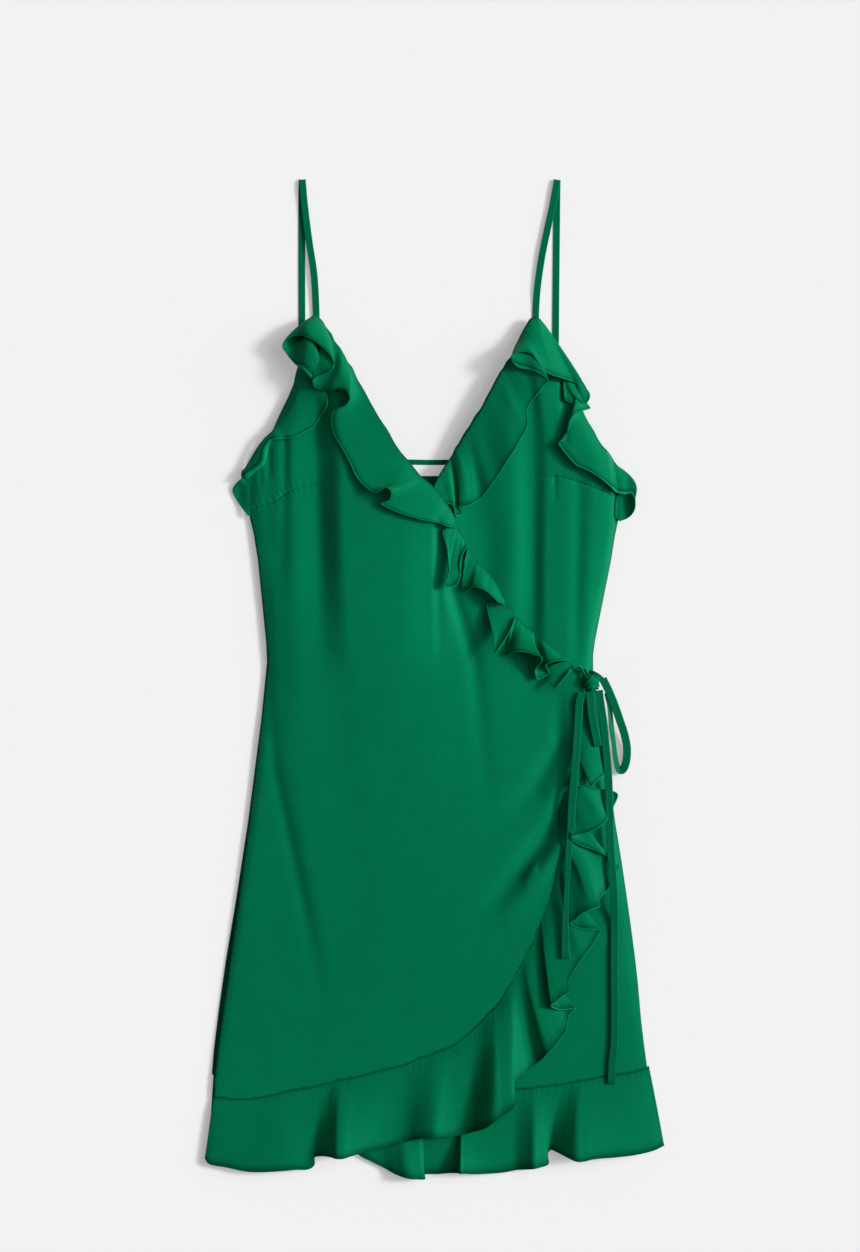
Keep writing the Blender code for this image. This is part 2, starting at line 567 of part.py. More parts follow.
# The knot at the waist, a flattened ball, and the tie that comes out of it.
KNOT = (149.0, -3.0, 16.0)
KNOT_SIZE = (7.0, 7.0, 4.5)
rings, segments = 7, 12
knot_points = [(KNOT[0], KNOT[1], KNOT[2] + KNOT_SIZE[2])]
for i in range(1, rings):
    lean = math.pi * i / rings
    for k in range(segments):
        turn = 2 * math.pi * k / segments
        knot_points.append((KNOT[0] + KNOT_SIZE[0] * math.sin(lean) * math.cos(turn),
                            KNOT[1] + KNOT_SIZE[1] * math.sin(lean) * math.sin(turn),
                            KNOT[2] + KNOT_SIZE[2] * math.cos(lean)))
knot_points.append((KNOT[0], KNOT[1], KNOT[2] - KNOT_SIZE[2]))
knot_faces = []
for k in range(segments):
    after = (k + 1) % segments
    knot_faces.append((0, 1 + k, 1 + after))
    for i in range(rings - 2):
        a = 1 + i * segments
        knot_faces.append((a + k, a + segments + k, a + segments + after, a + after))
    last = 1 + (rings - 2) * segments
    knot_faces.append((last + k, len(knot_points) - 1, last + after))
add_object("tie_knot", knot_points, knot_faces, ROULEAU)

SHORT_END = [(140, -13.5, 16.5), (137.3, -21, 16.7), (136.3, -35, 16.4), (135, -54, 16.6),
             (133.5, -78, 18.4), (131.6, -97, 19.8), (129.7, -125, 18.4), (128.7, -144, 18.6),
             (126.8, -163, 18.2), (125.9, -182, 18), (124.5, -205, 18), (123.7, -235, 18.8),
             (123.9, -265, 20.2)]
SHORT_WIDTH = (7.6, 7.6, 7.6, 7.6, 7.6, 7.6, 7.6, 7.2, 6.4, 5.0, 4.6, 6.6, 8.2)
LONG_END = [(155.5, -11.5, 12.8), (157.5, -25.6, 11.8), (160, -43, 12.4), (162, -64, 14.9),
            (164, -87, 16.8), (165, -106, 14.6), (165.5, -125, 16.6), (165.8, -144, 15.5),
            (167.2, -167, 15.2), (168.6, -187, 17.4), (169.6, -205, 17.4), (170.5, -235, 9.6),
            (170.5, -268, 9.4), (170.5, -344, 8.3), (168.6, -363, 7.6), (167.7, -385, 7.4)]
INNER_LOOP = [(147, -12.5, 17.4), (149, -35, 17), (152.5, -54, 17), (154.2, -62, 17),
              (154.6, -64.2, 16.2), (154.2, -62, 15.4), (153, -54, 14.9), (151, -35, 14.7),
              (148.5, -14.5, 14.9)]
OUTER_LOOP = [(159.2, -0.5, 15.5), (164, -10, 14), (169.6, -23, 12), (175, -38, 9), (180, -53, 6.4),
              (182.6, -66, 4.4), (182.3, -77, 3.6), (180, -85, 3.4), (176.5, -88, 3.4),
              (173.5, -84, 4), (171.5, -74, 5.2), (169.5, -59, 6.6), (167.7, -45, 7.6),
              (165.8, -26, 8.4), (163, -14, 9)]
# The second leg of the outer loop lies half on its edge, turned by these degrees.
OUTER_ROLL = (0, 0, 0, 0, 0, 0, 0, 10, 30, 50, 55, 55, 55, 55, 55)
band("tie_end_short", SHORT_END, SHORT_WIDTH, TIE_WALL, ROULEAU)
band("tie_end_long", LONG_END, TIE_WIDTH, TIE_WALL, ROULEAU)
band("tie_loop_inner", INNER_LOOP, TIE_WIDTH, TIE_WALL, ROULEAU)
band("tie_loop_outer", OUTER_LOOP, TIE_WIDTH, TIE_WALL, ROULEAU, roll=OUTER_ROLL)
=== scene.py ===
"""The green ruffled wrap dress, laid flat on its back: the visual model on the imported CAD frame.

X runs across the dress, Y from the hem up to the straps and Z up from the surface it lies on.
Lengths are millimetres in the tables and functions; MM turns them into metres.
"""
import math

import bpy
import numpy as np
from mathutils.geometry import delaunay_2d_cdt
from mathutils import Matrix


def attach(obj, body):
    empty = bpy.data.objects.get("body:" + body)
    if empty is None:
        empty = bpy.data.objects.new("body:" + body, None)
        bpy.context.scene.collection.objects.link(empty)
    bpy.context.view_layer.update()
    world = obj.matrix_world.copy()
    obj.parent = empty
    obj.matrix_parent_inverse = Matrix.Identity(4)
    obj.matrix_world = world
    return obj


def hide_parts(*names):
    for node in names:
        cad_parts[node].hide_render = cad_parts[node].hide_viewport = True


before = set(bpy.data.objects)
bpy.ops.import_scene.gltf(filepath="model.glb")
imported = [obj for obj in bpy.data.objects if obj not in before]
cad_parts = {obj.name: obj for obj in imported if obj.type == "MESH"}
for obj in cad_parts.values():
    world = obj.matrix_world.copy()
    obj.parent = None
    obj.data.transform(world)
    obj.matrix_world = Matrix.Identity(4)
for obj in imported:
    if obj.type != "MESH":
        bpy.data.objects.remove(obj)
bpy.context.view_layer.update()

MM = 0.001

# ---- camera, floor and light
CAMERA = (-4.3, 49.4, 4000.0)  # it looks straight down
FRAME_HEIGHT = 1189.4  # what the picture's height covers at the dress
CLIP_END = 50.0  # metres
SENSOR = 36.0
FLOOR_HALF = 4.0  # metres
FLOOR_WHITE = 0.5
FLOOR_GLOW = 0.3055  # a lit cove, so its shadows stay pale
FLOOR_ROUGH = 0.9
WORLD_GLOW = 0.18
# Soft suns: name, strength, width, azimuth (round from +X) and elevation the light comes from.
SUNS = [("key", 3.3, 12, 10, 30), ("soft key", 2.3, 50, 12, 34), ("overhead", 0.15, 60, 0, 85)]


def add_object(name, data):
    made = bpy.data.objects.new(name, data)
    bpy.context.scene.collection.objects.link(made)
    return made


def new_material(name):
    made = bpy.data.materials.new(name)
    made.use_nodes = True
    return made, made.node_tree.nodes


def fill(node, values):
    """Sets a node's inputs, or links them where the value is another node's output."""
    for key, value in values.items():
        if isinstance(value, bpy.types.NodeSocket):
            node.id_data.links.new(value, node.inputs[key])
        else:
            node.inputs[key].default_value = value


def build_camera():
    data = bpy.data.cameras.new("camera")
    data.sensor_fit = "VERTICAL"
    data.sensor_height = SENSOR
    data.lens = SENSOR * CAMERA[2] / FRAME_HEIGHT
    data.clip_end = CLIP_END
    camera = add_object("camera", data)
    camera.location = [v * MM for v in CAMERA]
    bpy.context.scene.camera = camera


def build_floor():
    mesh = bpy.data.meshes.new("floor")
    h = FLOOR_HALF
    mesh.from_pydata([(-h, -h, 0), (h, -h, 0), (h, h, 0), (-h, h, 0)], [], [(0, 1, 2, 3)])
    look, nodes = new_material("floor_paper")
    fill(nodes["Principled BSDF"], {
        "Base Color": (FLOOR_WHITE,) * 3 + (1,), "Roughness": FLOOR_ROUGH,
        "Specular IOR Level": 0.0, "Emission Color": (1, 1, 1, 1), "Emission Strength": FLOOR_GLOW})
    mesh.materials.append(look)
    floor = add_object("floor", mesh)


def build_light():
    world = bpy.data.worlds.new("studio")
    world.use_nodes = True
    fill(world.node_tree.nodes["Background"], {"Color": (1, 1, 1, 1), "Strength": WORLD_GLOW})
    bpy.context.scene.world = world
    bpy.context.scene.view_settings.view_transform = "Standard"
    for name, strength, width, azimuth, elevation in SUNS:
        data = bpy.data.lights.new(name, "SUN")
        data.energy = strength
        data.angle = math.radians(width)
        lamp = add_object(name, data)
        lamp.rotation_euler = (0, math.radians(90 - elevation), math.radians(azimuth))


build_camera()
build_floor()
build_light()


# ---- shapes
def smooth(t):
    t = np.clip(t, 0.0, 1.0)
    return t * t * (3 - 2 * t)


def segment(x, y, x0, y0, x1, y1):
    """Distance from points to a segment, and how far along it the nearest point is."""
    dx, dy = x1 - x0, y1 - y0
    t = np.clip(((x - x0) * dx + (y - y0) * dy) / max(dx * dx + dy * dy, 1e-9), 0.0, 1.0)
    return np.hypot(x - x0 - t * dx, y - y0 - t * dy), t


def line_distance(x, y, line):
    """Distance to an open line of points, and the length along it of the nearest point."""
    far, place, run = np.full(np.shape(x), 1.0e9), np.zeros(np.shape(x)), 0.0
    for (x0, y0), (x1, y1) in zip(line, line[1:]):
        d, t = segment(x, y, x0, y0, x1, y1)
        length = math.hypot(x1 - x0, y1 - y0)
        place = np.where(d < far, run + t * length, place)
        far = np.minimum(far, d)
        run += length
    return far, place


def outline_distance(x, y, outline):
    """Distance to a closed outline, positive inside it and negative outside."""
    inside = np.zeros(np.shape(x), bool)
    for (x0, y0), (x1, y1) in zip(outline, outline[1:] + outline[:1]):
        if y0 != y1:
            inside ^= ((y0 > y) != (y1 > y)) & (x < x0 + (y - y0) * (x1 - x0) / (y1 - y0))
    far = line_distance(x, y, outline + outline[:1])[0]
    return np.where(inside, far, -far)


def folds(x, y, table):
    """Soft folds: each row of a table is one straight stretch of a fold."""
    total = np.zeros(np.shape(x))
    for x0, y0, x1, y1, w0, w1, h0, h1 in table:
        d, t = segment(x, y, x0, y0, x1, y1)
        lift = (h0 + (h1 - h0) * t) * np.exp(-((d / (w0 + (w1 - w0) * t)) ** 2))
        same = np.sign(lift) == np.sign(total)
        total = np.where(np.abs(lift) > np.abs(total) * same, lift + total * ~same, total)
    return total


def curve(rows, steps=8):
    """A centripetal spline through the rows, in every column at once: so many steps to each row."""
    rows = np.array(rows, float)
    ends = np.vstack([2 * rows[0] - rows[1], rows, 2 * rows[-1] - rows[-2]])
    gaps = np.maximum(np.linalg.norm(np.diff(ends, axis=0), axis=1), 1e-3) ** 0.5
    knots = np.concatenate([[0], np.cumsum(gaps)])
    found = []
    for i in range(1, len(ends) - 2):
        level, knot = ends[i - 1 : i + 3], knots[i - 1 : i + 3]
        k = np.linspace(knot[1], knot[2], steps, endpoint=False)[:, None]
        for spans in (((0, 1), (1, 2), (2, 3)), ((0, 2), (1, 3)), ((1, 2),)):
            level = [((knot[q] - k) * level[j] + (k - knot[p]) * level[j + 1]) / (knot[q] - knot[p])
                     for j, (p, q) in enumerate(spans)]
        found.append(level[0])
    found.append(ends[-2:-1])
    return np.vstack(found)


def lengths(line):
    return np.concatenate([[0], np.cumsum(np.linalg.norm(np.diff(line, axis=0), axis=1))])


def add_piece(name, points, faces, look, nodes, attributes):
    """A smooth closed piece, from points in millimetres, that stands for CAD nodes."""
    points = np.array(points, float)
    corners = np.array([points[list(f[:3])] for f in faces])
    if np.linalg.det(corners).sum() < 0:
        faces = [tuple(reversed(f)) for f in faces]
    mesh = bpy.data.meshes.new(name)
    mesh.from_pydata((points * MM).tolist(), [], [tuple(int(i) for i in f) for f in faces])
    mesh.shade_smooth()
    mesh.materials.append(look)
    for label, values in attributes:
        layer = mesh.attributes.new(label, "FLOAT", "POINT")
        layer.data.foreach_set("value", np.array(values, np.float32))
    piece = add_object(name, mesh)
    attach(piece, "root")
    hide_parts(*nodes)
    return piece


CLOTH = 0.5  # thickness of the crepe
ROW_RISE = 0.87  # how far apart a panel's rows of points lie, of their spacing
SEAM_ROWS = (-7, -5, -3.4, -2.2, -1.3, -0.6, 0, 0.6, 1.3, 2.2, 3.4, 5, 7)  # rows beside a seam
SEAM_INSET = 0.8  # how far inside the outline those rows stay
SEAM_BAND = 8.0  # how far the panel's own rows stay off its seam
OUTLINE_SHADE_WIDTH = 1.8  # painted shade darkens this much of a panel's edge, which is folded in
OUTLINE_SHADE = 0.7


def divided(outline, longest):
    """The outline's corners, with points between them no further apart than longest."""
    found = []
    for (x0, y0), (x1, y1) in zip(outline, outline[1:] + outline[:1]):
        parts = max(1, math.ceil(math.hypot(x1 - x0, y1 - y0) / longest))
        found += [(x0 + (x1 - x0) * k / parts, y0 + (y1 - y0) * k / parts) for k in range(parts)]
    return found


def beside(seam, outline):
    """Rows of extra points beside a seam, so that its groove and gathers have shape."""
    line = curve(seam, steps=10)
    run = np.gradient(line, axis=0)
    run /= np.linalg.norm(run, axis=1, keepdims=True)
    away = np.column_stack([-run[:, 1], run[:, 0]])
    found = np.vstack([line + away * shift for shift in SEAM_ROWS])
    return found[outline_distance(found[:, 0], found[:, 1], outline) > SEAM_INSET].tolist()


def panel(name, node, outline, height, spacing, seam=()):
    """A flat cut piece: its outline filled with small triangles and lifted by height(x, y)."""
    rim = divided(outline, spacing)
    low, high = np.min(rim, axis=0), np.max(rim, axis=0)
    grid_x, grid_y = np.meshgrid(np.arange(low[0], high[0], spacing),
                                 np.arange(low[1], high[1], spacing * ROW_RISE))
    grid_x[1::2] += spacing / 2
    keep = outline_distance(grid_x, grid_y, outline) > spacing / 2
    if seam:
        keep &= line_distance(grid_x, grid_y, seam)[0] > SEAM_BAND
    flat = rim + list(zip(grid_x[keep].tolist(), grid_y[keep].tolist()))
    if seam:
        flat += [tuple(p) for p in beside(seam, outline)]
    edges = [(i, (i + 1) % len(rim)) for i in range(len(rim))]
    made = delaunay_2d_cdt(flat, edges, [], 1, 1e-5)
    flat, triangles = np.array([tuple(v) for v in made[0]]), np.array(made[2])
    z = height(flat[:, 0], flat[:, 1])
    count = len(flat)
    points = np.vstack([np.column_stack([flat, z + half]) for half in (CLOTH / 2, -CLOTH / 2)])
    sides = np.concatenate([triangles[:, [0, 1]], triangles[:, [1, 2]], triangles[:, [2, 0]]])
    held = {(int(a), int(b)) for a, b in sides}
    walls = sorted((b, a, a + count, b + count) for a, b in held if (b, a) not in held)
    faces = triangles.tolist() + (triangles[:, ::-1] + count).tolist() + walls
    # Painted shade along the panel's outline, carried in the groove attribute.
    outline_shade = 1 - smooth(np.abs(outline_distance(flat[:, 0], flat[:, 1], outline)) / OUTLINE_SHADE_WIDTH)
    return add_piece(name, points, faces, PANEL_LOOK, [node],
                     (("groove", np.tile(OUTLINE_SHADE * outline_shade, 2)),))


def closed_grid(middle, thickness):
    """Points and faces of a closed sheet, from a grid of middle points (stations, across, xyz)."""
    normal = np.cross(np.gradient(middle, axis=0), np.gradient(middle, axis=1))
    size = np.linalg.norm(normal, axis=2, keepdims=True)
    normal = np.where(size > 1e-9, normal / np.maximum(size, 1e-9), (0, 0, 1))
    rows, columns = middle.shape[:2]
    shift = normal * thickness[..., None] / 2
    points = np.vstack([(middle + shift).reshape(-1, 3), (middle - shift).reshape(-1, 3)])
    index = np.arange(rows * columns).reshape(rows, columns)
    a, b = index[:-1, :-1].ravel(), index[1:, :-1].ravel()
    c, d = index[1:, 1:].ravel(), index[:-1, 1:].ravel()
    under = rows * columns
    faces = np.column_stack([a, b, c, d]).tolist() + (np.column_stack([a, d, c, b]) + under).tolist()
    for line, flip in ((index[:, 0], False), (index[:, -1], True), (index[0], True), (index[-1], False)):
        for p, q in zip(line[:-1].tolist(), line[1:].tolist()):
            side = (p, p + under, q + under, q)
            faces.append(side[::-1] if flip else side)
    return points, faces


# The rolled hem's columns: how far they lie from the free edge, how thick they are, and how much of
# each is rolled edge, which gets a painted highlight that turns to painted shade toward the hem. The
# painted shade beside the rolled edge starts one column further in.
HEM_BEAD = (1.7, 1.3, 1.1, 0.75, 0.4, 0.12, 0.0)
HEM_THICK = (0.5, 0.5, 0.8, 1.0, 0.95, 0.6, 0.3)
HEM_PAINTED_EDGE = (0, 0, 0.3, 0.9, 1, 1, 1)
HEM_BEAD_SHADE = (0.3, 0.9, 0.9, 0.3, 0, 0, 0, 0)
STRIP_LEAST = 8.0  # a strip's columns are spaced as if it were at least this deep
SEWN_DROP = 0.6  # how low a strip starts where it is tucked under its panel
DIP_MOST = 0.7  # how far it may dip below the layer that it lies on
SEWN_LINE = 1.2  # width of the line of painted shade where it is sewn on
GATHER_HEIGHT = 0.12
GATHER_PITCH = 6.5
GATHER_REACH = 9.0  # how far the gathers run out of the seam
GATHER_UNEVEN = ((1.3, 9.0), (0.9, 23.0))  # how their pitch wanders: by how much, how slowly


def ruffle(node, table, base, tuck=0.0, steps=8, across=20):
    """A gathered strip from its table, with a rolled free edge. base(x, y) is the layer it lies on."""
    rows = curve(table, steps)
    seam, belly, edge = rows[:, 0:2], rows[:, 2:5], rows[:, 5:8]
    run = np.gradient(seam, axis=0)
    run /= np.maximum(np.linalg.norm(run, axis=1, keepdims=True), 1e-6)
    away = np.column_stack([-run[:, 1], run[:, 0]])
    away *= np.sign(np.sum(away * (edge[:, :2] - seam), axis=1))[:, None]
    start = np.column_stack([seam - away * tuck, np.full(len(seam), -SEWN_DROP if tuck else 0.0)])
    turn = 2 * belly - (start + edge) / 2
    deep = np.maximum(np.linalg.norm(edge - start, axis=1), STRIP_LEAST)
    t = np.linspace(0, 1, across, endpoint=False)[None, :] * (1 - HEM_BEAD[0] / deep)[:, None]
    t = np.hstack([t] + [(1 - bead / deep)[:, None] for bead in HEM_BEAD])
    s = t[..., None]
    middle = (1 - s) ** 2 * start[:, None] + 2 * s * (1 - s) * turn[:, None] + s**2 * edge[:, None]
    sewn, down = lengths(seam), t * deep[:, None]
    phase = 2 * math.pi * sewn / GATHER_PITCH
    for size, slow in GATHER_UNEVEN:
        phase += size * np.sin(sewn / slow)
    fade = np.exp(-down / GATHER_REACH) * smooth(down / SEWN_LINE)
    middle[:, :, 2] += GATHER_HEIGHT * np.sin(phase)[:, None] * fade
    middle[:, :, 2] = np.maximum(middle[:, :, 2], -DIP_MOST) + base(middle[:, :, 0], middle[:, :, 1])

    def columns(inner, hem):
        return np.broadcast_to(np.concatenate([np.full(len(t[0]) - len(hem), inner), hem]), t.shape)

    points, faces = closed_grid(middle, columns(CLOTH, HEM_THICK))
    # The rolled edge gets a painted highlight; the groove carries painted shade along the seam and
    # beside the rolled edge.
    attributes = (("rim", columns(0.0, HEM_PAINTED_EDGE)),
                  ("groove", np.exp(-down / SEWN_LINE) + columns(0.0, HEM_BEAD_SHADE)))
    doubled = [(label, np.tile(values.ravel(), 2)) for label, values in attributes]
    return add_piece(f"{node}_cloth", points, faces, RUFFLE_LOOK, [node], doubled)


def quads(rings, sides):
    """The faces between rings of points, each ring closed on itself."""
    near = [(i * sides + k, i * sides + (k + 1) % sides) for i in range(rings - 1) for k in range(sides)]
    return [(p, q, q + sides, p + sides) for p, q in near]


TUBE_SIDES = 20
LEVEL = 0.35  # where less of its run than this is level, a tube keeps its neighbours' broad side


def tube(path, width, thickness, roll=0.0):
    """A flat tube's points, faces, edge share and middle, along a path of (x, y, z)."""
    count = len(path)
    columns = [np.broadcast_to(np.asarray(v, float), count) for v in (width, thickness, roll)]
    rows = curve(np.column_stack([np.array(path, float)] + columns))
    centre, widths, heights, turn = rows[:, :3], rows[:, 3], rows[:, 4], np.radians(rows[:, 5])
    run = np.gradient(centre, axis=0)
    run /= np.linalg.norm(run, axis=1, keepdims=True)
    broad = np.cross((0.0, 0.0, 1.0), run)
    known = np.flatnonzero(np.linalg.norm(broad, axis=1) > LEVEL)
    for i in range(len(broad)):
        broad[i] = broad[known[np.argmin(np.abs(known - i))]]
        if i and np.dot(broad[i], broad[i - 1]) < 0:
            broad[i] *= -1
    for _ in range(6):
        broad[1:-1] = (broad[:-2] + 2 * broad[1:-1] + broad[2:]) / 4
    broad -= run * np.sum(broad * run, axis=1, keepdims=True)
    broad /= np.linalg.norm(broad, axis=1, keepdims=True)
    narrow = np.cross(run, broad)
    cos, sin = np.cos(turn)[:, None], np.sin(turn)[:, None]
    broad, narrow = broad * cos + narrow * sin, narrow * cos - broad * sin
    # Its section is a flattened ring, thicker along its two edges than in the middle.
    a = np.linspace(0, 2 * math.pi, TUBE_SIDES, endpoint=False)
    u = 0.5 * np.sign(np.cos(a)) * np.abs(np.cos(a)) ** 0.8
    v = 0.5 * np.sign(np.sin(a)) * np.abs(np.sin(a)) ** 0.6 * (0.5 + 2 * u * u)
    points = (centre[:, None] + broad[:, None] * (u[None, :] * widths[:, None])[..., None]
              + narrow[:, None] * (v[None, :] * heights[:, None])[..., None])
    first = tuple(range(TUBE_SIDES))
    last = tuple((len(centre) - 1) * TUBE_SIDES + k for k in first)
    faces = quads(len(centre), TUBE_SIDES) + [first[::-1], last]
    # Share of the tube's edges, which gets a painted highlight.
    edge = np.tile(np.abs(u) * 2, len(centre)) ** 8
    return points.reshape(-1, 3), faces, edge, centre


def band(node, path, width, thickness, roll=0.0):
    """A strap or tie: a flat tube, and the points in metres that its middle runs through."""
    points, faces, edge, centre = tube(path, width, thickness, roll)
    piece = add_piece(f"{node}_cloth", points, faces, TUBE_LOOK, [node], (("rim", edge),))
    return piece, [tuple(p) for p in (centre * MM).tolist()]


# ---- materials
MOTTLE = (40.0, 3.0)  # scale and detail of the cloth's soft mottling
MOTTLE_SHARE = 0.4
PEBBLE = (800.0, 3.0)  # and of crepe's pebbled grain
PEBBLE_SHARE = 1.1
DARK_SHARE = 0.25  # what the two leave to the darker green
PEBBLE_DEPTH = 0.0003  # metres
SHADE_LINE_DARK = 0.45  # painted shade: how dark a seam's groove, a panel's outline and the line beside a rolled edge get, of the cloth's darker green
FALLOFF_SHADE = 0.14  # painted shade: how much darker the cloth gets toward the hem, where the light falls off
FALLOFF_SPAN = (0.05, -0.25)  # from where to where along Y, in metres
HEM_EDGE_SHADE = 0.35  # painted shade: how dark the rolled edge gets at the hem, of the cloth's darker green
HEM_EDGE_SHADE_SPAN = (-0.33, -0.40)
CREPE_SHEEN = {
    "Roughness": 0.5, "Specular IOR Level": 0.08, "Specular Tint": (0.02, 1.0, 0.62, 1),
    "Sheen Weight": 0.06, "Sheen Roughness": 0.45, "Sheen Tint": (0.01, 0.75, 0.45, 1),
}


def crepe(name, dark, light, edge, grain):
    """Green crepe: pebbled, softly mottled and with a soft sheen; painted highlights on its rolled edges
    turn to painted shade toward the hem, and painted shade darkens its seams and its lower part.
    """
    made, nodes = new_material(name)
    place = nodes.new("ShaderNodeTexCoord").outputs["Object"]

    def noise(scale, detail):
        node = nodes.new("ShaderNodeTexNoise")
        fill(node, {"Scale": scale, "Detail": detail, "Vector": place})
        return node.outputs["Fac"]

    def multiply_add(a, b, c):
        node = nodes.new("ShaderNodeMath")
        node.operation = "MULTIPLY_ADD"
        fill(node, {0: a, 1: b, 2: c})
        return node.outputs["Value"]

    def mix(a, b, factor):
        node = nodes.new("ShaderNodeMix")
        node.data_type = "RGBA"
        inputs = [k for k, socket in enumerate(node.inputs) if socket.enabled]
        values = [(*v, 1) if isinstance(v, tuple) else v for v in (factor, a, b)]
        fill(node, dict(zip(inputs, values)))
        return [s for s in node.outputs if s.enabled][0]

    def attribute(label):
        node = nodes.new("ShaderNodeAttribute")
        node.attribute_name = label
        return node.outputs["Fac"]

    pebble = noise(*PEBBLE)
    blend = multiply_add(noise(*MOTTLE), MOTTLE_SHARE, multiply_add(pebble, PEBBLE_SHARE, -DARK_SHARE))
    cloth = mix(dark, light, blend)
    # Painted shade along seams, panel outlines and beside the rolled edges.
    line_shaded = mix(cloth, tuple(c * SHADE_LINE_DARK for c in dark), attribute("groove"))
    split = nodes.new("ShaderNodeSeparateXYZ")
    fill(split, {"Vector": place})

    def downward(start, end, most):
        """A share that grows from nothing at start to most at end, toward the hem."""
        node = nodes.new("ShaderNodeMapRange")
        fill(node, {"Value": split.outputs["Y"], "From Min": start, "From Max": end, "To Max": most})
        return node.outputs["Result"]

    # The rolled edges get a painted highlight, which turns to painted shade toward the hem.
    edge_paint = mix(edge, tuple(c * HEM_EDGE_SHADE for c in dark), downward(*HEM_EDGE_SHADE_SPAN, 1.0))
    edge_painted = mix(line_shaded, edge_paint, attribute("rim"))
    # Painted shade: the cloth darkens toward the hem, where the light falls off.
    falloff_shaded = mix(edge_painted, (0.0, 0.0, 0.0), downward(*FALLOFF_SPAN, FALLOFF_SHADE))
    bump = nodes.new("ShaderNodeBump")
    fill(bump, {"Strength": grain, "Distance": PEBBLE_DEPTH, "Height": pebble})
    fill(nodes["Principled BSDF"],
         {"Base Color": falloff_shaded, "Normal": bump.outputs["Normal"], **CREPE_SHEEN})
    return made


# Each green: the darker and the lighter of the cloth, the painted highlight on its rolled edge, and how
# deep the grain is.
PANEL_LOOK = crepe("green_crepe", (0.0004, 0.111, 0.046), (0.0008, 0.171, 0.072),
                   (0.0008, 0.18, 0.076), 0.35)
RUFFLE_LOOK = crepe("green_crepe_ruffle", (0.0004, 0.106, 0.043), (0.0008, 0.164, 0.068),
                    (0.0008, 0.20, 0.088), 0.35)
TUBE_LOOK = crepe("green_crepe_tube", (0.0005, 0.088, 0.038), (0.0010, 0.122, 0.053),
                  (0.0012, 0.16, 0.070), 0.25)

# ---- the ties, whose routes are the CAD's
TIE_WIDTH = 7.6
TIE_THICK = 1.6
SHORT_END = [
    (140, -13.5, 16.5), (137.3, -21, 16.7), (136.3, -35, 16.4), (135, -54, 16.6), (133.5, -78, 18.4),
    (131.6, -97, 19.8), (129.7, -125, 18.4), (128.7, -144, 18.6), (126.8, -163, 18.2),
    (125.9, -182, 18), (124.5, -205, 18), (123.7, -235, 18.8), (123.9, -265, 20.2),
]
SHORT_WIDTH = (TIE_WIDTH,) * 7 + (7.2, 6.4, 5.0, 4.6, 6.6, 8.2)
LONG_END = [
    (155.5, -11.5, 12.8), (157.5, -25.6, 11.8), (160, -43, 12.4), (162, -64, 14.9), (164, -87, 16.8),
    (165, -106, 14.6), (165.5, -125, 16.6), (165.8, -144, 15.5), (167.2, -167, 15.2),
    (168.6, -187, 17.4), (169.6, -205, 17.4), (170.5, -235, 9.6), (170.5, -268, 9.4),
    (170.5, -344, 8.3), (168.6, -363, 7.6), (167.7, -385, 7.4),
]
INNER_LOOP = [
    (147, -12.5, 17.4), (149, -35, 17), (152.5, -54, 17), (154.2, -62, 17), (154.6, -64.2, 16.2),
    (154.2, -62, 15.4), (153, -54, 14.9), (151, -35, 14.7), (148.5, -14.5, 14.9),
]
OUTER_LOOP = [
    (159.2, -0.5, 15.5), (164, -10, 14), (169.6, -23, 12), (175, -38, 9), (180, -53, 6.4),
    (182.6, -66, 4.4), (182.3, -77, 3.6), (180, -85, 3.4), (176.5, -88, 3.4), (173.5, -84, 4),
    (171.5, -74, 5.2), (169.5, -59, 6.6), (167.7, -45, 7.6), (165.8, -26, 8.4), (163, -14, 9),
]
# The second leg of the outer loop lies half on its edge, turned by these degrees.
OUTER_ROLL = (0,) * 7 + (10, 30, 50) + (55,) * 5
for name, route, width, roll, far_end in (
        ("tie_end_short", SHORT_END, SHORT_WIDTH, 0.0, "bare"),
        ("tie_end_long", LONG_END, TIE_WIDTH, 0.0, "bare"),
        ("tie_loop_inner", INNER_LOOP, TIE_WIDTH, 0.0, "object"),
        ("tie_loop_outer", OUTER_LOOP, TIE_WIDTH, OUTER_ROLL, "object")):
    tie, path = band(name, route, width, TIE_THICK, roll)

KNOT = (149.0, -3.0, 16.0)
KNOT_SIZE = (7.0, 7.0, 4.5)
KNOT_RINGS = 14
KNOT_SIDES = 24
WRAP_WIDTH = TIE_WIDTH - 2.8  # the tie is pulled narrow and thick in the knot
WRAP_THICK = TIE_THICK + 0.6
# Wraps of the knot, as (x, y, z) points over its core.
KNOT_WRAPS = [
    [(143, -9, 12.5), (143.5, -7, 18), (147, -3, 21.2), (150.5, 1, 19), (151.5, 4, 13)],
    [(141, 7.5, 13), (143.5, 4, 17), (147.5, -1, 19.8), (151.5, -6, 18.3), (153.5, -10.5, 13)],
    [(146.5, 5.5, 13), (150, 4.6, 17), (154.5, 2.2, 18), (158.5, -1.2, 15.5)],
    [(144.5, -12.5, 14), (146, -10, 18.6), (149.5, -7.8, 19.8), (153.5, -6.4, 17), (155.5, -6, 13)],
]


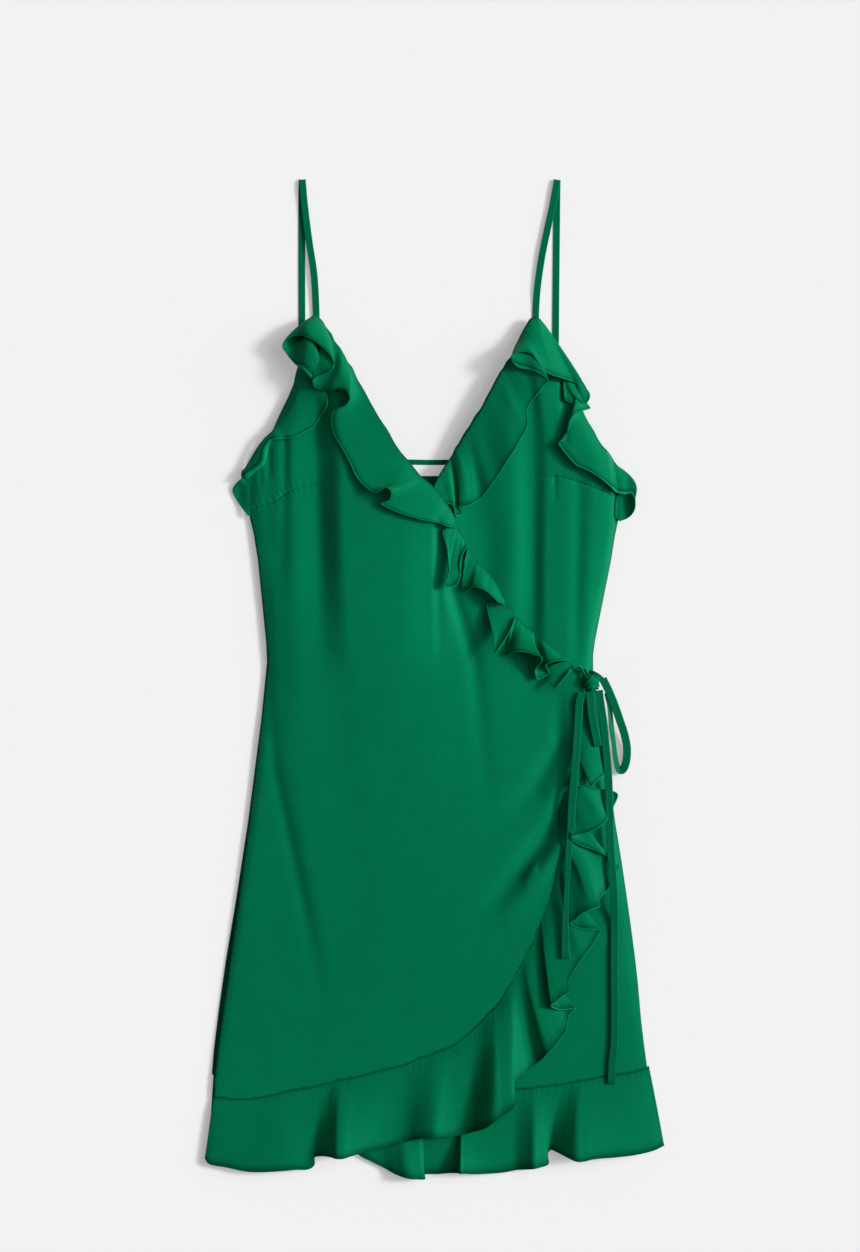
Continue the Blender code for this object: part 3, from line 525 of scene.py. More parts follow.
def build_knot():
    """The knot: a small core with the tie's wraps crossing over it."""
    points = []
    for i in range(KNOT_RINGS + 1):
        lean = math.pi * i / KNOT_RINGS
        for k in range(KNOT_SIDES):
            turn = 2 * math.pi * k / KNOT_SIDES
            points.append((KNOT[0] + KNOT_SIZE[0] * math.sin(lean) * math.cos(turn),
                           KNOT[1] + KNOT_SIZE[1] * math.sin(lean) * math.sin(turn),
                           KNOT[2] + KNOT_SIZE[2] * math.cos(lean)))
    faces = [(a, d, c, b) for a, b, c, d in quads(KNOT_RINGS + 1, KNOT_SIDES)]
    edges = [np.zeros(len(points))]
    for wrap in KNOT_WRAPS:
        more, sides, edge, _ = tube(wrap, WRAP_WIDTH, WRAP_THICK)
        faces += [tuple(k + len(points) for k in side) for side in sides]
        points += more.tolist()
        edges.append(edge)
    # The wraps' edges get the same painted highlight.
    add_piece("knot_cloth", points, faces, TUBE_LOOK, ["tie_knot"],
              (("rim", np.concatenate(edges)),))


build_knot()

# ---- outlines and folds
# Outlines, as (x, y) corners in order.
OVER_ARMHOLE = [
    (-175.3, 152), (-175.3, 169.1), (-175.3, 183.3), (-174.3, 197.6), (-170.5, 209), (-163.9, 219.4),
    (-158.2, 228), (-153.4, 235.6), (-149.6, 244.1), (-143.9, 255.5), (-139.2, 266), (-134.4, 277.4),
    (-130.6, 288.8), (-127.8, 302.1), (-124.9, 315.4), (-122.1, 328.7), (-118.3, 338.2),
]
OVER_NECK = [
    (-110.7, 340.1), (-105.9, 335.3), (-99.3, 325.8), (-89.8, 310.6), (-80.3, 294.5), (-70.8, 277.4),
    (-60.3, 258.4), (-49.9, 241.3), (-40.4, 226.1), (-30.9, 211.8), (-21.4, 199.5), (-12.8, 190),
    (-4.3, 182.4), (4.3, 173.8), (11.9, 161.5), (19.5, 148.2), (26.1, 133.9), (32.8, 122.5),
    (42.3, 111.1), (50.8, 98.8), (59.4, 83.6), (67.9, 68.4), (78.4, 55.1), (89.8, 43.7), (104, 31.3),
    (118.3, 19), (132.5, 9.5), (141.1, 2.8),
]
OVER_SIDE = [
    (-209.5, -381.9), (-203.8, -336.3), (-199, -304), (-194.3, -267.9), (-186.7, -215.6),
    (-176.2, -136.8), (-164.8, -41.8), (-158.2, 15.2), (-160.1, 36.1), (-163.9, 74.1), (-167.7, 112.1),
    (-171.5, 135.8),
]
UNDER_SIDE = [
    (174.3, 149.2), (171.5, 135.8), (167.7, 112.1), (162, 83.6), (156.3, 55.1), (152.5, 36.1),
    (150.6, 21.8), (150.6, 5.7), (153.4, -11.4), (159.1, -39.9), (163.9, -73.1), (167.7, -106.4),
    (171.5, -136.8), (176.2, -165.3), (181, -196.6), (185.7, -229.9), (190.5, -266), (193.3, -291.6),
    (196.2, -324.9), (199, -348.6), (201.9, -369.5),
]
UNDER_WAIST = [
    (-139.2, 1.9), (-90.7, 45.6), (-60.3, 82.6), (-33.7, 120.6), (-12.8, 160.5), (-5.2, 172.9),
]
UNDER_NECK = [
    (4.3, 188.1), (10.9, 199.5), (18.5, 210.9), (26.1, 224.2), (35.6, 240.3), (45.1, 254.6),
    (54.6, 271.7), (64.1, 288.8), (71.7, 301.1), (77.4, 312.6), (83.1, 325.8), (88.8, 336.3),
    (93.6, 340.1),
]
UNDER_ARMHOLE = [
    (99.3, 340.1), (105, 332.5), (110.7, 323.9), (117.3, 313.5), (124, 304), (129.7, 293.6),
    (134.4, 283.1), (136.3, 272.6), (136.3, 262.2), (138.2, 253.6), (143.9, 243.2), (150.6, 231.8),
    (157.2, 222.3), (163.9, 213.8), (168.6, 206.1), (171.5, 197.6), (173.4, 188.1), (174.3, 173.8),
    (174.3, 159.6),
]
BACK_SIDE = [
    (-173.4, 151), (-171.5, 135.8), (-168.6, 119.7), (-163.9, 74.1), (-160.1, 36.1), (-159.1, 15.2),
    (-164.8, -40.9), (-177.2, -136.8), (-188.6, -210.9), (-198.1, -267.9), (-204.7, -313.5),
    (-209.5, -352.4), (-211.4, -374.3),
]
BACK_TOP = [
    (175.3, 150.1), (172.4, 163.4), (159.1, 177.7), (119.2, 190.9), (-0.5, 191.9), (-125.9, 190.9),
    (-156.3, 178.6), (-169.6, 164.3),
]
# Gathered seams under the bust, from the side seam inwards.
OVER_SEAM = [
    (-173.4, 161.5), (-163.9, 164.3), (-154.4, 167.2), (-146.8, 171), (-142, 174.8), (-135.4, 178.6),
    (-125.9, 181.4), (-116.4, 183.3), (-106.9, 184.3),
]
UNDER_SEAM = [
    (175.3, 167.2), (171.5, 170), (162, 175.8), (147.7, 181.4), (133.5, 186.2), (119.2, 190),
    (105, 190), (94.5, 188.1),
]
# The rounded body of the dress, section by section. Columns: y | then x and lift fourteen times, at the
# left side, its roll, the foot and top of the left fold, the foot and top of the bust fold, the left
# bust, the hollow between, the right bust, the foot and top of the right fold, the right shelf, the
# right roll and the right side.
BODY = [
    (359, -128, 0, -124, 1, -122, 2, -118, 2.5, -114, 2.5, -99, 3, -33, 3,
     5, 3, 62, 3, 87, 3, 93, 3, 97, 2.5, 101, 1.5, 105, 0),
    (331, -128, 0, -124, 2.5, -122, 4, -118, 6, -113, 7, -99, 8, -33, 9,
     5, 8, 62, 7, 83, 6.5, 91, 6.5, 99, 6, 104, 3, 109, 0),
    (264, -143, 0, -135, 3.5, -132, 5.5, -126, 6.5, -113, 7, -92, 14.5, -33, 16,
     5, 9, 67, 11.5, 91, 8, 102, 11, 121, 9.5, 132, 7, 140, 0),
    (217, -171, 0, -162, 2.8, -156, 3.8, -132, 8, -113, 7.4, -87, 18, -33, 19.5,
     10, 8, 70, 11.6, 93, 7.8, 108, 11.4, 144, 12, 161, 8.4, 166, 0),
    (169, -175, 0, -166, 3.1, -158, 4.3, -132, 9, -112, 8, -87, 19.5, -33, 21,
     38, 8, 73, 11.8, 93, 7.8, 107, 12, 146, 12.4, 168, 8.8, 173, 0),
    (112, -171, 0, -161, 3.2, -153, 4.8, -130, 9.4, -111, 8, -85, 18.5, -33, 20,
     47, 7.6, 73, 11.6, 93, 7.6, 106, 12, 142, 12.4, 162, 8.8, 168, 0),
    (74, -166, 0, -157, 3.5, -151, 5.5, -128, 9, -111, 8.6, -83, 17.5, -33, 19,
     43, 8, 72, 11.4, 93, 7.6, 106, 11.8, 138, 11.8, 154, 8.4, 160, 0),
    (36, -162, 0, -154, 3.5, -149, 5, -128, 8.5, -110, 9, -80, 15.5, -33, 17,
     34, 10, 67, 10.8, 91, 7.6, 106, 11.4, 133, 11, 147, 8, 152, 0),
    (-2, -160, 0, -152, 3, -147, 4.5, -126, 8, -106, 9.1, -73, 12.8, -33, 15,
     34, 12.4, 67, 11.2, 91, 9.6, 107, 9.6, 133, 10.2, 144, 7, 152, 0),
    (-59, -168, 0, -159, 3, -154, 4, -130, 7.5, -97, 9, -63, 11.6, -14, 13,
     39, 12, 67, 11.5, 91, 10.3, 111, 9.3, 134, 11, 153, 6, 163, 0),
    (-116, -174, 0, -166, 2.6, -154, 3.3, -126, 7, -88, 8.4, -54, 10.5, -4, 11.5,
     41, 11, 67, 10.5, 91, 10, 110, 9.5, 148, 8.5, 161, 5, 169, 0),
    (-173, -182, 0, -173, 2.4, -145, 3.4, -120, 6.2, -84, 7.4, -50, 9, 5, 10,
     41, 9.8, 67, 9.5, 91, 9, 119, 8.2, 157, 7, 169, 4, 177, 0),
    (-230, -190, 0, -182, 2.2, -135, 3.8, -111, 5.8, -80, 6.8, -47, 8, 5, 8.5,
     41, 8.3, 72, 7.9, 100, 7.2, 129, 6.5, 162, 5.5, 176, 3.2, 186, 0),
    (-306, -201, 0, -192, 1.8, -123, 4, -97, 5.2, -76, 5.8, -42, 6.3, 5, 6.5,
     43, 6.3, 72, 6, 100, 5.5, 138, 5, 171, 4, 186, 2.4, 195, 0),
    (-382, -212, 0, -203, 1.4, -137, 3, -99, 3.6, -71, 3.8, -33, 4, 15, 4,
     43, 3.9, 72, 3.7, 100, 3.5, 148, 3, 181, 2.4, 195, 1.4, 205, 0),
    (-486, -223, 0, -213, 0.1, -137, 0.1, -99, 0.1, -71, 0.1, -33, 0.1, 15, 0.1,
     43, 0.1, 72, 0.1, 100, 0.1, 148, 0.1, 195, 0.1, 214, 0.1, 224, 0),
]
# Smaller folds. Columns: start x, y | end x, y | half width at start, end | lift at start, end.
FOLDS = [
    (-142, 226, -142, 186, 3.8, 4.3, -1.8, -1.6), (-142, 186, -144, 74, 4.8, 6.6, -1.4, -0.2),
    (-157, 217, -157, 192, 2.8, 2.8, -1.4, -0.9), (-165, 196, -165, 184, 1.9, 1.9, -1, -0.6),
    (3, 146, 3, 74, 4.8, 4.8, -2.4, -1.4), (3, 74, 4, 17, 4.8, 5.7, -1.4, -0.3),
    (-1, 146, 0, 27, 3.8, 4.8, 1, 0.4), (17, 84, 37, 17, 6.6, 7.6, -3.4, -2.4),
    (37, 17, 43, -40, 7.6, 8.5, -2.4, -1.2), (43, -40, 51, -116, 8.5, 8.5, -1.2, -0.3),
    (119, -21, 118, -64, 6.6, 7.6, -0.8, -3.4), (118, -64, 94, -106, 7.6, 11.4, -3.4, -4),
    (94, -106, 67, -127, 11.4, 13.3, -4, -0.3), (122, -111, 115, -137, 6.6, 8.5, -3, -5),
    (115, -137, 85, -177, 8.5, 10.4, -5, -5.2), (85, -177, 47, -222, 10.4, 14.2, -5.2, -0.4),
    (126, -150, 97, -188, 8.5, 10.4, 4, 4), (97, -188, 58, -234, 10.4, 13.3, 4, 0.3),
    (-156, -21, -152, -87, 4.8, 5.7, -0.3, -1.2), (-152, -87, -125, -211, 5.7, 7.6, -1.2, -1.8),
    (-125, -211, -107, -306, 7.6, 8.5, -1.8, -0.2), (114, 190, 114, 167, 2.4, 2.4, -1.2, -0.4),
    (137, 184, 135, 36, 6.6, 6.6, -1.5, -1.8), (135, 36, 135, -2, 6.6, 5.7, -1.8, -0.4),
    (124, 280, 124, 224, 4.8, 3.8, -2.2, -1.2),
]


def from_seam(table):
    """Ruffle rows as places, from rows that tell the belly and the edge from the seam."""
    rows = np.array(table, float)
    rows[:, 2:4] += rows[:, :2]
    rows[:, 5:7] += rows[:, :2]
    return rows


# Ruffle rows, one per crest, valley or turn of the free edge. Columns: seam x, y | then, told from
# the seam, belly x, y and its lift | edge x, y and its lift.
OVER_RUFFLE = from_seam([
    (-173, 153, -3, 1, 0.3, -6, 3, 0.6), (-174, 162, -8, 3, 0, -14, 7, 0.2),
    (-174, 171, -10, 5, 0, -18, 8, 0.2), (-174, 180, -7, 4, 1, -11, 8, 3.5),
    (-173, 189, -10, 6, 3.5, -5, 0, 8), (-173, 199, -6, 1, 3.5, 4, -3, 5.5),
    (-170, 208, -3, 1, 3.5, 9, -5, 4.5), (-164, 218, -4, 0, 3.2, 6, -3, 4),
    (-158, 228, -2, 0, 3, 3, -4, 3.5), (-153, 236, 1, -3, 3.5, 3, -10, 5),
    (-150, 243, 3, -8, 2.5, 7, -16, 4), (-144, 256, 5, -16, 2.2, 11, -28, 3),
    (-139, 266, 7, -18, 2, 15, -34, 2.5), (-134, 277, 10, -21, 2, 20, -39, 2),
    (-132, 287, 13, -20, 2.5, 25, -38, 2), (-130, 294, 15, -18, 3.5, 29, -35, 3),
    (-128, 302, 16, -12, 2, 25, -31, 1.5), (-127, 308, 15, -11, 6, 17, -32, 3.5),
    (-126, 312, 16, -5, 9.5, 12, -31, 7.5), (-125, 315, 12, -1, 11.5, 6, -29, 10),
    (-124, 319, 4, 0, 12, -1, -27, 11), (-124, 323, -9, -8, 11, -8, -26, 12),
    (-123, 327, -18, -11, 11.5, -17, -19, 13), (-122, 331, -18, -11, 12.5, -21, -17, 14),
    (-121, 334, -13, -6, 13.5, -20, -15, 15.5), (-120, 337, -10, -5, 13.5, -15, -14, 16),
    (-118, 341, -8, -7, 13, -9, -17, 15.5), (-116, 343, -2, -11, 12, 0, -23, 14.5),
    (-114, 344, 4, -16, 11, 7, -31, 13.5), (-110, 342, 8, -21, 10, 12, -38, 12.5),
    (-106, 338, 9, -24, 8, 11, -42, 11.5), (-103, 333, 5, -25, 7.5, 5, -43, 10.5),
    (-100, 329, -6, -20, 9, -6, -43, 9.5), (-97, 325, -14, -21, 8.5, -17, -43, 10),
    (-95, 320, -10, -27, 6, -19, -44, 8.5), (-92, 316, -6, -27, 5, -16, -43, 6.5),
    (-89, 312, -1, -24, 8.5, -9, -40, 6), (-85, 305, 1, -22, 9.5, -5, -31, 7.5),
    (-82, 299, 3, -20, 9, -1, -28, 10), (-78, 294, 0, -20, 7, -2, -30, 10.5),
    (-73, 283, -5, -18, 5, -12, -26, 8), (-67, 273, -12, -15, 2.5, -28, -20, 4.5),
    (-60, 260, -18, -12, 1, -38, -16, 2), (-52, 246, -21, -11, 0.5, -43, -16, 1),
    (-44, 234, -21, -14, 0.5, -43, -18, 1), (-38, 223, -19, -13, 0.5, -42, -20, 1.5),
    (-32, 214, -19, -15, 1, -42, -24, 2.5), (-26, 207, -19, -16, 2, -39, -27, 4.5),
    (-21, 201, -19, -15, 3.5, -35, -26, 8), (-17, 196, -18, -12, 4.5, -30, -16, 12),
    (-13, 191, -16, -10, 5, -28, -15, 13), (-8, 187, -19, -9, 3, -35, -19, 8),
    (-4, 184, -20, -11, 2, -47, -19, 4), (0, 180, -19, -11, 2, -41, -21, 4),
    (4, 176, -14, -14, 2, -29, -23, 4), (8, 170, -8, -12, 2.5, -18, -21, 4.5),
    (12, 164, -5, -10, 2.5, -10, -17, 5), (15, 160, -1, -9, 2.5, -2, -17, 5),
    (18, 154, 1, -7, 2.5, 3, -12, 4.5), (19, 150, -3, -7, 1, -11, -10, 1.5),
    (20, 147, -6, -11, 1.5, -10, -18, 3), (21, 145, -7, -18, 3, -8, -28, 6),
    (22, 142, -7, -22, 4.5, -8, -40, 8.5), (23, 141, -7, -28, 5.5, -11, -55, 10),
    (24, 139, -5, -25, 6, -5, -52, 10.5), (25, 137, -2, -21, 6, -1, -43, 10.5),
    (26, 135, -1, -14, 5.5, -2, -29, 10), (28, 132, -1, -8, 4.5, -1, -14, 8.5),
    (30, 128, 1, -2, 3, 1, -4, 6), (32, 124, -2, -5, 0.6, -3, -13, 0.8),
    (34, 122, -4, -12, 0.3, -7, -24, 0.3), (36, 119, -5, -16, 0.4, -10, -33, 0.4),
    (38, 114, -3, -15, 1.6, -8, -32, 2.5), (42, 109, -3, -12, 4.5, -6, -23, 7.5),
    (47, 104, -1, -10, 6, -4, -19, 11), (52, 99, -2, -10, 6, -3, -17, 11.5),
    (57, 92, -2, -7, 5.5, -2, -15, 10.5), (61, 84, 0, -7, 4.5, -1, -12, 9),
    (66, 74, 0, -3, 3, 0, -5, 6), (68, 71, -9, -1, 0.6, -18, 0, 0.8),
    (69, 69, -10, -3, 1.2, -19, -5, 2.5), (70, 67, -10, -9, 3, -17, -16, 6),
    (71, 66, -9, -16, 4.5, -15, -30, 8.5), (72, 65, -9, -20, 5.5, -16, -43, 10.5),
    (73, 64, -5, -18, 6, -11, -34, 11), (74, 63, -3, -13, 6, -5, -23, 10.5),
    (75, 62, -1, -8, 5, -2, -14, 9), (76, 60, 0, -2, 3, -1, -4, 6),
    (76, 59, -2, -11, 0.5, -6, -23, 0.4), (78, 57, -5, -18, 0.6, -10, -36, 1),
    (80, 55, -4, -17, 3.5, -7, -31, 6.5), (82, 53, -2, -15, 6, -2, -28, 11),
    (85, 50, 1, -14, 8, 3, -26, 14), (88, 48, 4, -15, 9, 7, -26, 16),
    (90, 46, 5, -15, 9, 11, -26, 16), (92, 45, 4, -16, 7.5, 9, -30, 14),
    (93, 44, 2, -17, 5, 4, -33, 10), (94, 43, 1, -19, 2.5, 1, -37, 6),
    (95, 42, 1, -21, 1.5, 2, -43, 4), (96, 41, 5, -21, 1, 8, -40, 2.5),
    (97, 40, 5, -16, 1.5, 11, -36, 3), (99, 38, 2, -14, 4, 6, -26, 9),
    (102, 36, 3, -11, 6.5, 6, -22, 12), (107, 32, 4, -8, 7, 7, -16, 13),
    (114, 27, 4, -6, 6, 8, -10, 12), (120, 21, 4, -2, 3.5, 7, -4, 8),
    (124, 18, -7, -4, 1, -16, -8, 1), (126, 17, -10, -7, 1.5, -17, -14, 2.5),
    (128, 15, -11, -9, 3, -21, -20, 5.5), (129, 14, -9, -11, 4.5, -16, -24, 8.5),
    (130, 13, -7, -9, 5, -11, -17, 9.5), (132, 12, -5, -4, 4.5, -6, -8, 8),
    (134, 10, -3, -1, 2.5, -5, -3, 5), (137, 9, -1, 1, 4, 0, 3, 7),
    (141, 7, 1, -2, 3, 2, -5, 4),
])
UNDER_RUFFLE = from_seam([
    (-8, 172, 4, -4, 0.2, 9, -9, 0.3), (-2, 179, 4, -8, 0.3, 11, -17, 0.5),
    (3, 190, 6, -12, 2, 11, -25, 1.5), (9, 200, 6, -16, 4, 9, -39, 2),
    (13, 206, 6, -20, 1.5, 7, -53, 0.6), (15, 209, 6, -23, 1.5, 11, -54, 0.6),
    (17, 212, 5, -24, 5, 6, -50, 4), (19, 217, 8, -26, 7, 9, -55, 6),
    (23, 223, 10, -28, 5, 12, -59, 6.5), (28, 232, 10, -32, 3, 15, -63, 5),
    (33, 239, 11, -31, 3.5, 19, -59, 7), (38, 248, 13, -30, 3, 22, -57, 6.5),
    (44, 256, 13, -27, 3.5, 24, -52, 8), (49, 266, 14, -26, 4, 26, -52, 9),
    (54, 275, 15, -24, 4, 26, -52, 9), (58, 283, 15, -24, 4.5, 28, -50, 9),
    (62, 290, 14, -23, 4, 26, -49, 8.5), (65, 294, 12, -21, 4, 22, -42, 7),
    (67, 298, 13, -20, 5, 24, -38, 7), (69, 301, 14, -18, 6, 28, -33, 7),
    (70, 302, 21, -12, 7, 33, -26, 8), (71, 303, 27, -9, 9, 36, -22, 10.5),
    (72, 304, 24, -4, 10, 28, -17, 11), (73, 306, 17, 0, 10.5, 17, -15, 11),
    (74, 308, 6, -1, 10.5, 4, -14, 11), (75, 311, -1, -4, 10.7, -2, -11, 11.5),
    (76, 314, -1, -4, 10, -2, -9, 13), (78, 318, 1, -5, 10, 3, -10, 13),
    (81, 324, 6, -9, 10, 11, -18, 13), (84, 330, 8, -16, 9, 13, -31, 12.5),
    (87, 335, 8, -21, 8, 15, -43, 11.5), (90, 340, 10, -25, 7, 19, -53, 10),
    (94, 342, 13, -28, 6.5, 25, -58, 9), (98, 342, 16, -30, 6.5, 32, -61, 9),
    (103, 337, 20, -31, 7, 36, -60, 9.5), (107, 332, 22, -33, 7.5, 39, -61, 10.5),
    (111, 326, 22, -34, 7.5, 36, -61, 12), (114, 320, 18, -34, 8, 29, -60, 11),
    (118, 314, 10, -30, 5, 17, -50, 7), (122, 309, 0, -26, 2, 7, -41, 2.5),
    (126, 303, -3, -24, 2.5, -3, -39, 3), (129, 298, 1, -21, 3, 5, -39, 2.5),
    (131, 294, 6, -19, 5, 17, -38, 6), (133, 288, 1, -21, 5, 0, -38, 6),
    (135, 281, -3, -21, 4, -8, -40, 6), (136, 275, -4, -21, 4.2, -11, -43, 6),
    (138, 267, -5, -18, 4, -16, -41, 5.5), (139, 259, -7, -14, 3, -22, -37, 5),
    (141, 252, -8, -14, 3, -21, -35, 5), (146, 242, -6, -14, 3, -19, -34, 4.5),
    (151, 234, -5, -16, 3, -17, -33, 4.5), (155, 226, -3, -14, 3, -12, -29, 4.5),
    (160, 219, -3, -14, 3.5, -8, -27, 5), (165, 214, -1, -14, 4, -6, -27, 5.5),
    (169, 208, 2, -11, 4.5, -3, -27, 5.5), (171, 202, 6, -7, 5, 1, -26, 7),
    (173, 197, 10, -4, 6, 7, -23, 8), (174, 191, 14, -2, 7, 12, -16, 8.5),
    (174, 184, 16, -1, 7.5, 15, -14, 8), (173, 178, 13, -4, 3.5, 17, -10, 9.5),
    (172, 171, 12, -7, 2.2, 18, -10, 9), (171, 164, 10, -6, 1.6, 16, -9, 7),
    (171, 158, 6, -5, 1.2, 11, -7, 3.5), (171, 152, 3, -2, 1.5, 5, -3, 1.5),
])
EDGE_RUFFLE = from_seam([
    (146, -11, 5, -4, 1.5, 9, -8, 2), (144, -26, 6, -8, 1.5, 13, -16, 2.5),
    (142, -38, 8, -12, 2, 17, -22, 3.5), (139, -51, 10, -14, 3.5, 21, -24, 6),
    (137, -61, 12, -15, 5, 24, -29, 8.5), (135, -66, 10, -17, 5.5, 19, -31, 10),
    (134, -70, 7, -16, 5, 14, -32, 10), (133, -73, 7, -11, 2.5, 12, -20, 3.5),
    (133, -75, 4, -7, 2, 8, -12, 2.5), (133, -77, 2, -9, 2.5, 5, -16, 4),
    (133, -80, 0, -10, 3, 0, -20, 6), (132, -83, 3, -10, 1.5, 8, -20, 2.5),
    (131, -86, 11, -11, 1.2, 21, -19, 2), (131, -87, 17, -15, 1.5, 33, -19, 2.5),
    (131, -90, 19, -15, 1.5, 43, -20, 1.5), (130, -92, 19, -16, 2.5, 40, -30, 2),
    (130, -95, 17, -19, 5, 34, -38, 8.5), (129, -98, 12, -22, 5, 27, -43, 9),
    (128, -101, 7, -23, 4.5, 18, -45, 8.5), (127, -103, 3, -23, 3, 7, -46, 5.5),
    (126, -104, 0, -23, 2.5, 3, -47, 4.5), (124, -107, 6, -23, 2.5, 13, -51, 5.5),
    (122, -110, 14, -25, 2.5, 27, -52, 5.5), (121, -113, 23, -29, 2.5, 37, -53, 5.5),
    (120, -117, 28, -31, 2, 45, -53, 4), (119, -122, 31, -33, 1, 56, -57, 1),
    (118, -127, 29, -35, 1.5, 53, -61, 1.5), (118, -134, 26, -33, 3.5, 45, -67, 5),
    (118, -141, 23, -32, 6, 38, -68, 9.5), (118, -146, 20, -31, 7, 38, -70, 12),
    (118, -152, 17, -28, 7, 30, -67, 13), (119, -158, 14, -26, 5, 19, -66, 11),
    (119, -163, 9, -27, 3.5, 14, -66, 9), (118, -169, 5, -28, 2.5, 10, -64, 7),
    (117, -175, 10, -27, 1.8, 19, -62, 6), (116, -180, 17, -28, 2.5, 31, -58, 6.5),
    (115, -185, 22, -27, 2, 42, -54, 5), (114, -192, 22, -26, 2.5, 40, -53, 5),
    (112, -200, 21, -26, 3.5, 36, -55, 6.5), (110, -206, 18, -28, 5, 30, -59, 8.5),
    (109, -210, 15, -30, 4.5, 24, -65, 9), (108, -213, 13, -33, 5, 20, -71, 10),
    (106, -216, 12, -34, 5.5, 20, -75, 10.5), (105, -219, 10, -36, 6, 22, -78, 11),
    (104, -222, 7, -36, 6, 16, -80, 11.5), (103, -225, 4, -36, 6, 11, -82, 12),
    (102, -227, 2, -37, 5.5, 8, -83, 12), (101, -229, 6, -39, 2.5, 16, -85, 6.5),
    (100, -232, 11, -42, 1.2, 27, -82, 4.5), (99, -235, 11, -42, 0.8, 35, -78, 3.5),
    (97, -239, 11, -45, 1, 31, -80, 2.5), (95, -243, 12, -46, 2, 31, -84, 4),
    (94, -248, 11, -46, 3, 31, -86, 6), (91, -254, 10, -44, 4, 28, -88, 8),
    (88, -259, 8, -45, 5, 25, -91, 10), (85, -265, 8, -44, 5, 22, -90, 10),
    (82, -271, 8, -43, 2.5, 20, -90, 5.5), (79, -276, 7, -43, 0.8, 17, -90, 2),
    (76, -281, 6, -44, 1.5, 14, -91, 3), (75, -285, 4, -45, 3, 9, -92, 6),
    (72, -290, 4, -44, 5, 6, -93, 9), (69, -294, 5, -44, 6.5, 4, -94, 12),
    (66, -299, 5, -47, 8, 10, -98, 15), (63, -304, 4, -48, 9, 11, -102, 18),
    (60, -308, 2, -50, 10, 4, -105, 20), (56, -313, 1, -50, 11, 0, -106, 22),
    (51, -317, 0, -52, 9, -3, -108, 19), (46, -323, -1, -50, 5.5, -5, -105, 12),
    (41, -328, -2, -50, 3, -5, -102, 6.5), (36, -333, -2, -49, 2.2, -6, -99, 4.5),
    (28, -340, -4, -47, 3, -8, -94, 6), (19, -347, -5, -44, 4.5, -9, -88, 10),
    (9, -352, -5, -41, 6.5, -9, -83, 14), (0, -355, -3, -40, 6.5, -6, -80, 13),
    (-7, -358, -5, -39, 4.5, -8, -78, 9), (-16, -361, -5, -38, 2.2, -9, -78, 4),
    (-24, -365, -6, -38, 1.2, -10, -77, 2.2), (-37, -369, -7, -38, 2.2, -12, -77, 4),
    (-54, -373, -8, -37, 5, -13, -76, 9.5), (-69, -377, -7, -37, 7.5, -10, -75, 15),
    (-81, -380, -5, -36, 9.5, -6, -74, 19), (-88, -381, -4, -36, 9.5, -5, -73, 19),
    (-94, -382, -3, -36, 6.5, -5, -71, 13), (-98, -384, -5, -35, 3, -9, -69, 6),
    (-104, -385, -6, -35, 0.8, -10, -70, 1), (-111, -387, -4, -35, 0.8, -3, -75, 1),
    (-119, -389, -3, -37, 1.5, -1, -77, 2.8), (-129, -390, -3, -38, 2.6, -3, -76, 5.2),
    (-139, -392, -4, -37, 3.2, -4, -75, 6.4), (-154, -396, -4, -35, 3, -4, -72, 6),
    (-171, -399, -4, -34, 2.2, -6, -69, 4.5), (-187, -400, -7, -31, 1.5, -11, -64, 3),
    (-200, -399, -8, -30, 0.9, -14, -62, 1.6), (-210, -398, -4, -30, 0.4, -8, -58, 0.6),
])
HEM_RUFFLE = from_seam([
    (204, -370, 7, -36, 0.4, 14, -74, 0.8), (196, -372, 8, -38, 1.5, 13, -76, 3),
    (183, -375, 6, -38, 3.2, 8, -77, 6.5), (169, -377, 2, -37, 5, 2, -77, 10),
    (155, -379, -1, -37, 7, -3, -76, 14), (146, -381, -3, -37, 8.5, -5, -76, 17),
    (139, -382, -4, -36, 9, -5, -75, 18), (134, -383, -5, -35, 6.5, -8, -71, 13),
    (130, -384, -8, -33, 3, -13, -66, 6), (124, -385, -9, -31, 0.6, -14, -63, 0.6),
    (117, -386, -7, -33, 0.8, -10, -68, 0.8), (110, -387, -5, -34, 2, -2, -74, 3.5),
    (101, -388, -2, -34, 4, -2, -76, 8), (95, -389, -1, -33, 5, -1, -76, 10),
    (88, -390, -1, -33, 3, -2, -76, 6), (80, -390, -2, -35, 1, -3, -77, 2),
    (70, -391, -2, -36, 1.2, -3, -78, 2.5), (55, -392, -2, -37, 2, -4, -78, 5),
    (41, -393, -3, -37, 2.8, -3, -77, 9), (32, -394, -3, -36, 3.4, -4, -75, 13),
    (27, -394, -2, -37, 3.6, -3, -75, 15), (24, -394, -1, -37, 0.6, -1, -76, 2),
    (18, -395, -2, -35, 0.3, -3, -75, 0.3), (5, -395, -2, -35, 0.3, -3, -76, 0.3),
    (-4, -395, -3, -35, 0.3, -4, -76, 0.3), (-9, -395, -2, -36, 0.4, -1, -77, 0.6),
    (-13, -395, -1, -37, 2.2, 4, -80, 6), (-19, -394, -1, -39, 3.2, 3, -81, 9),
    (-26, -392, -3, -40, 3.8, 1, -82, 11), (-35, -389, -3, -40, 2.4, -1, -82, 6),
    (-44, -383, -6, -41, 0.8, -2, -83, 1.5), (-56, -374, -7, -42, 0.5, -4, -85, 0.8),
    (-67, -363, -9, -42, 0.3, -7, -88, 0.4), (-79, -347, -16, -37, 0.1, -22, -71, 0),
    (-90, -327, -22, -30, 0, -37, -60, 0), (-99, -303, -26, -22, 0, -46, -43, 0),
    (-108, -275, -27, -13, 0, -49, -27, 0), (-115, -241, -28, -8, 0, -50, -15, 0),
    (-122, -201, -26, -3, 0, -46, -6, 0), (-128, -159, -22, -1, 0, -39, -2, 0),
    (-133, -116, -16, 0, 0, -29, 0, 0), (-137, -73, -10, 0, 0, -19, 0, 0),
    (-141, -32, -5, 0, 0, -10, 0, 0),
])
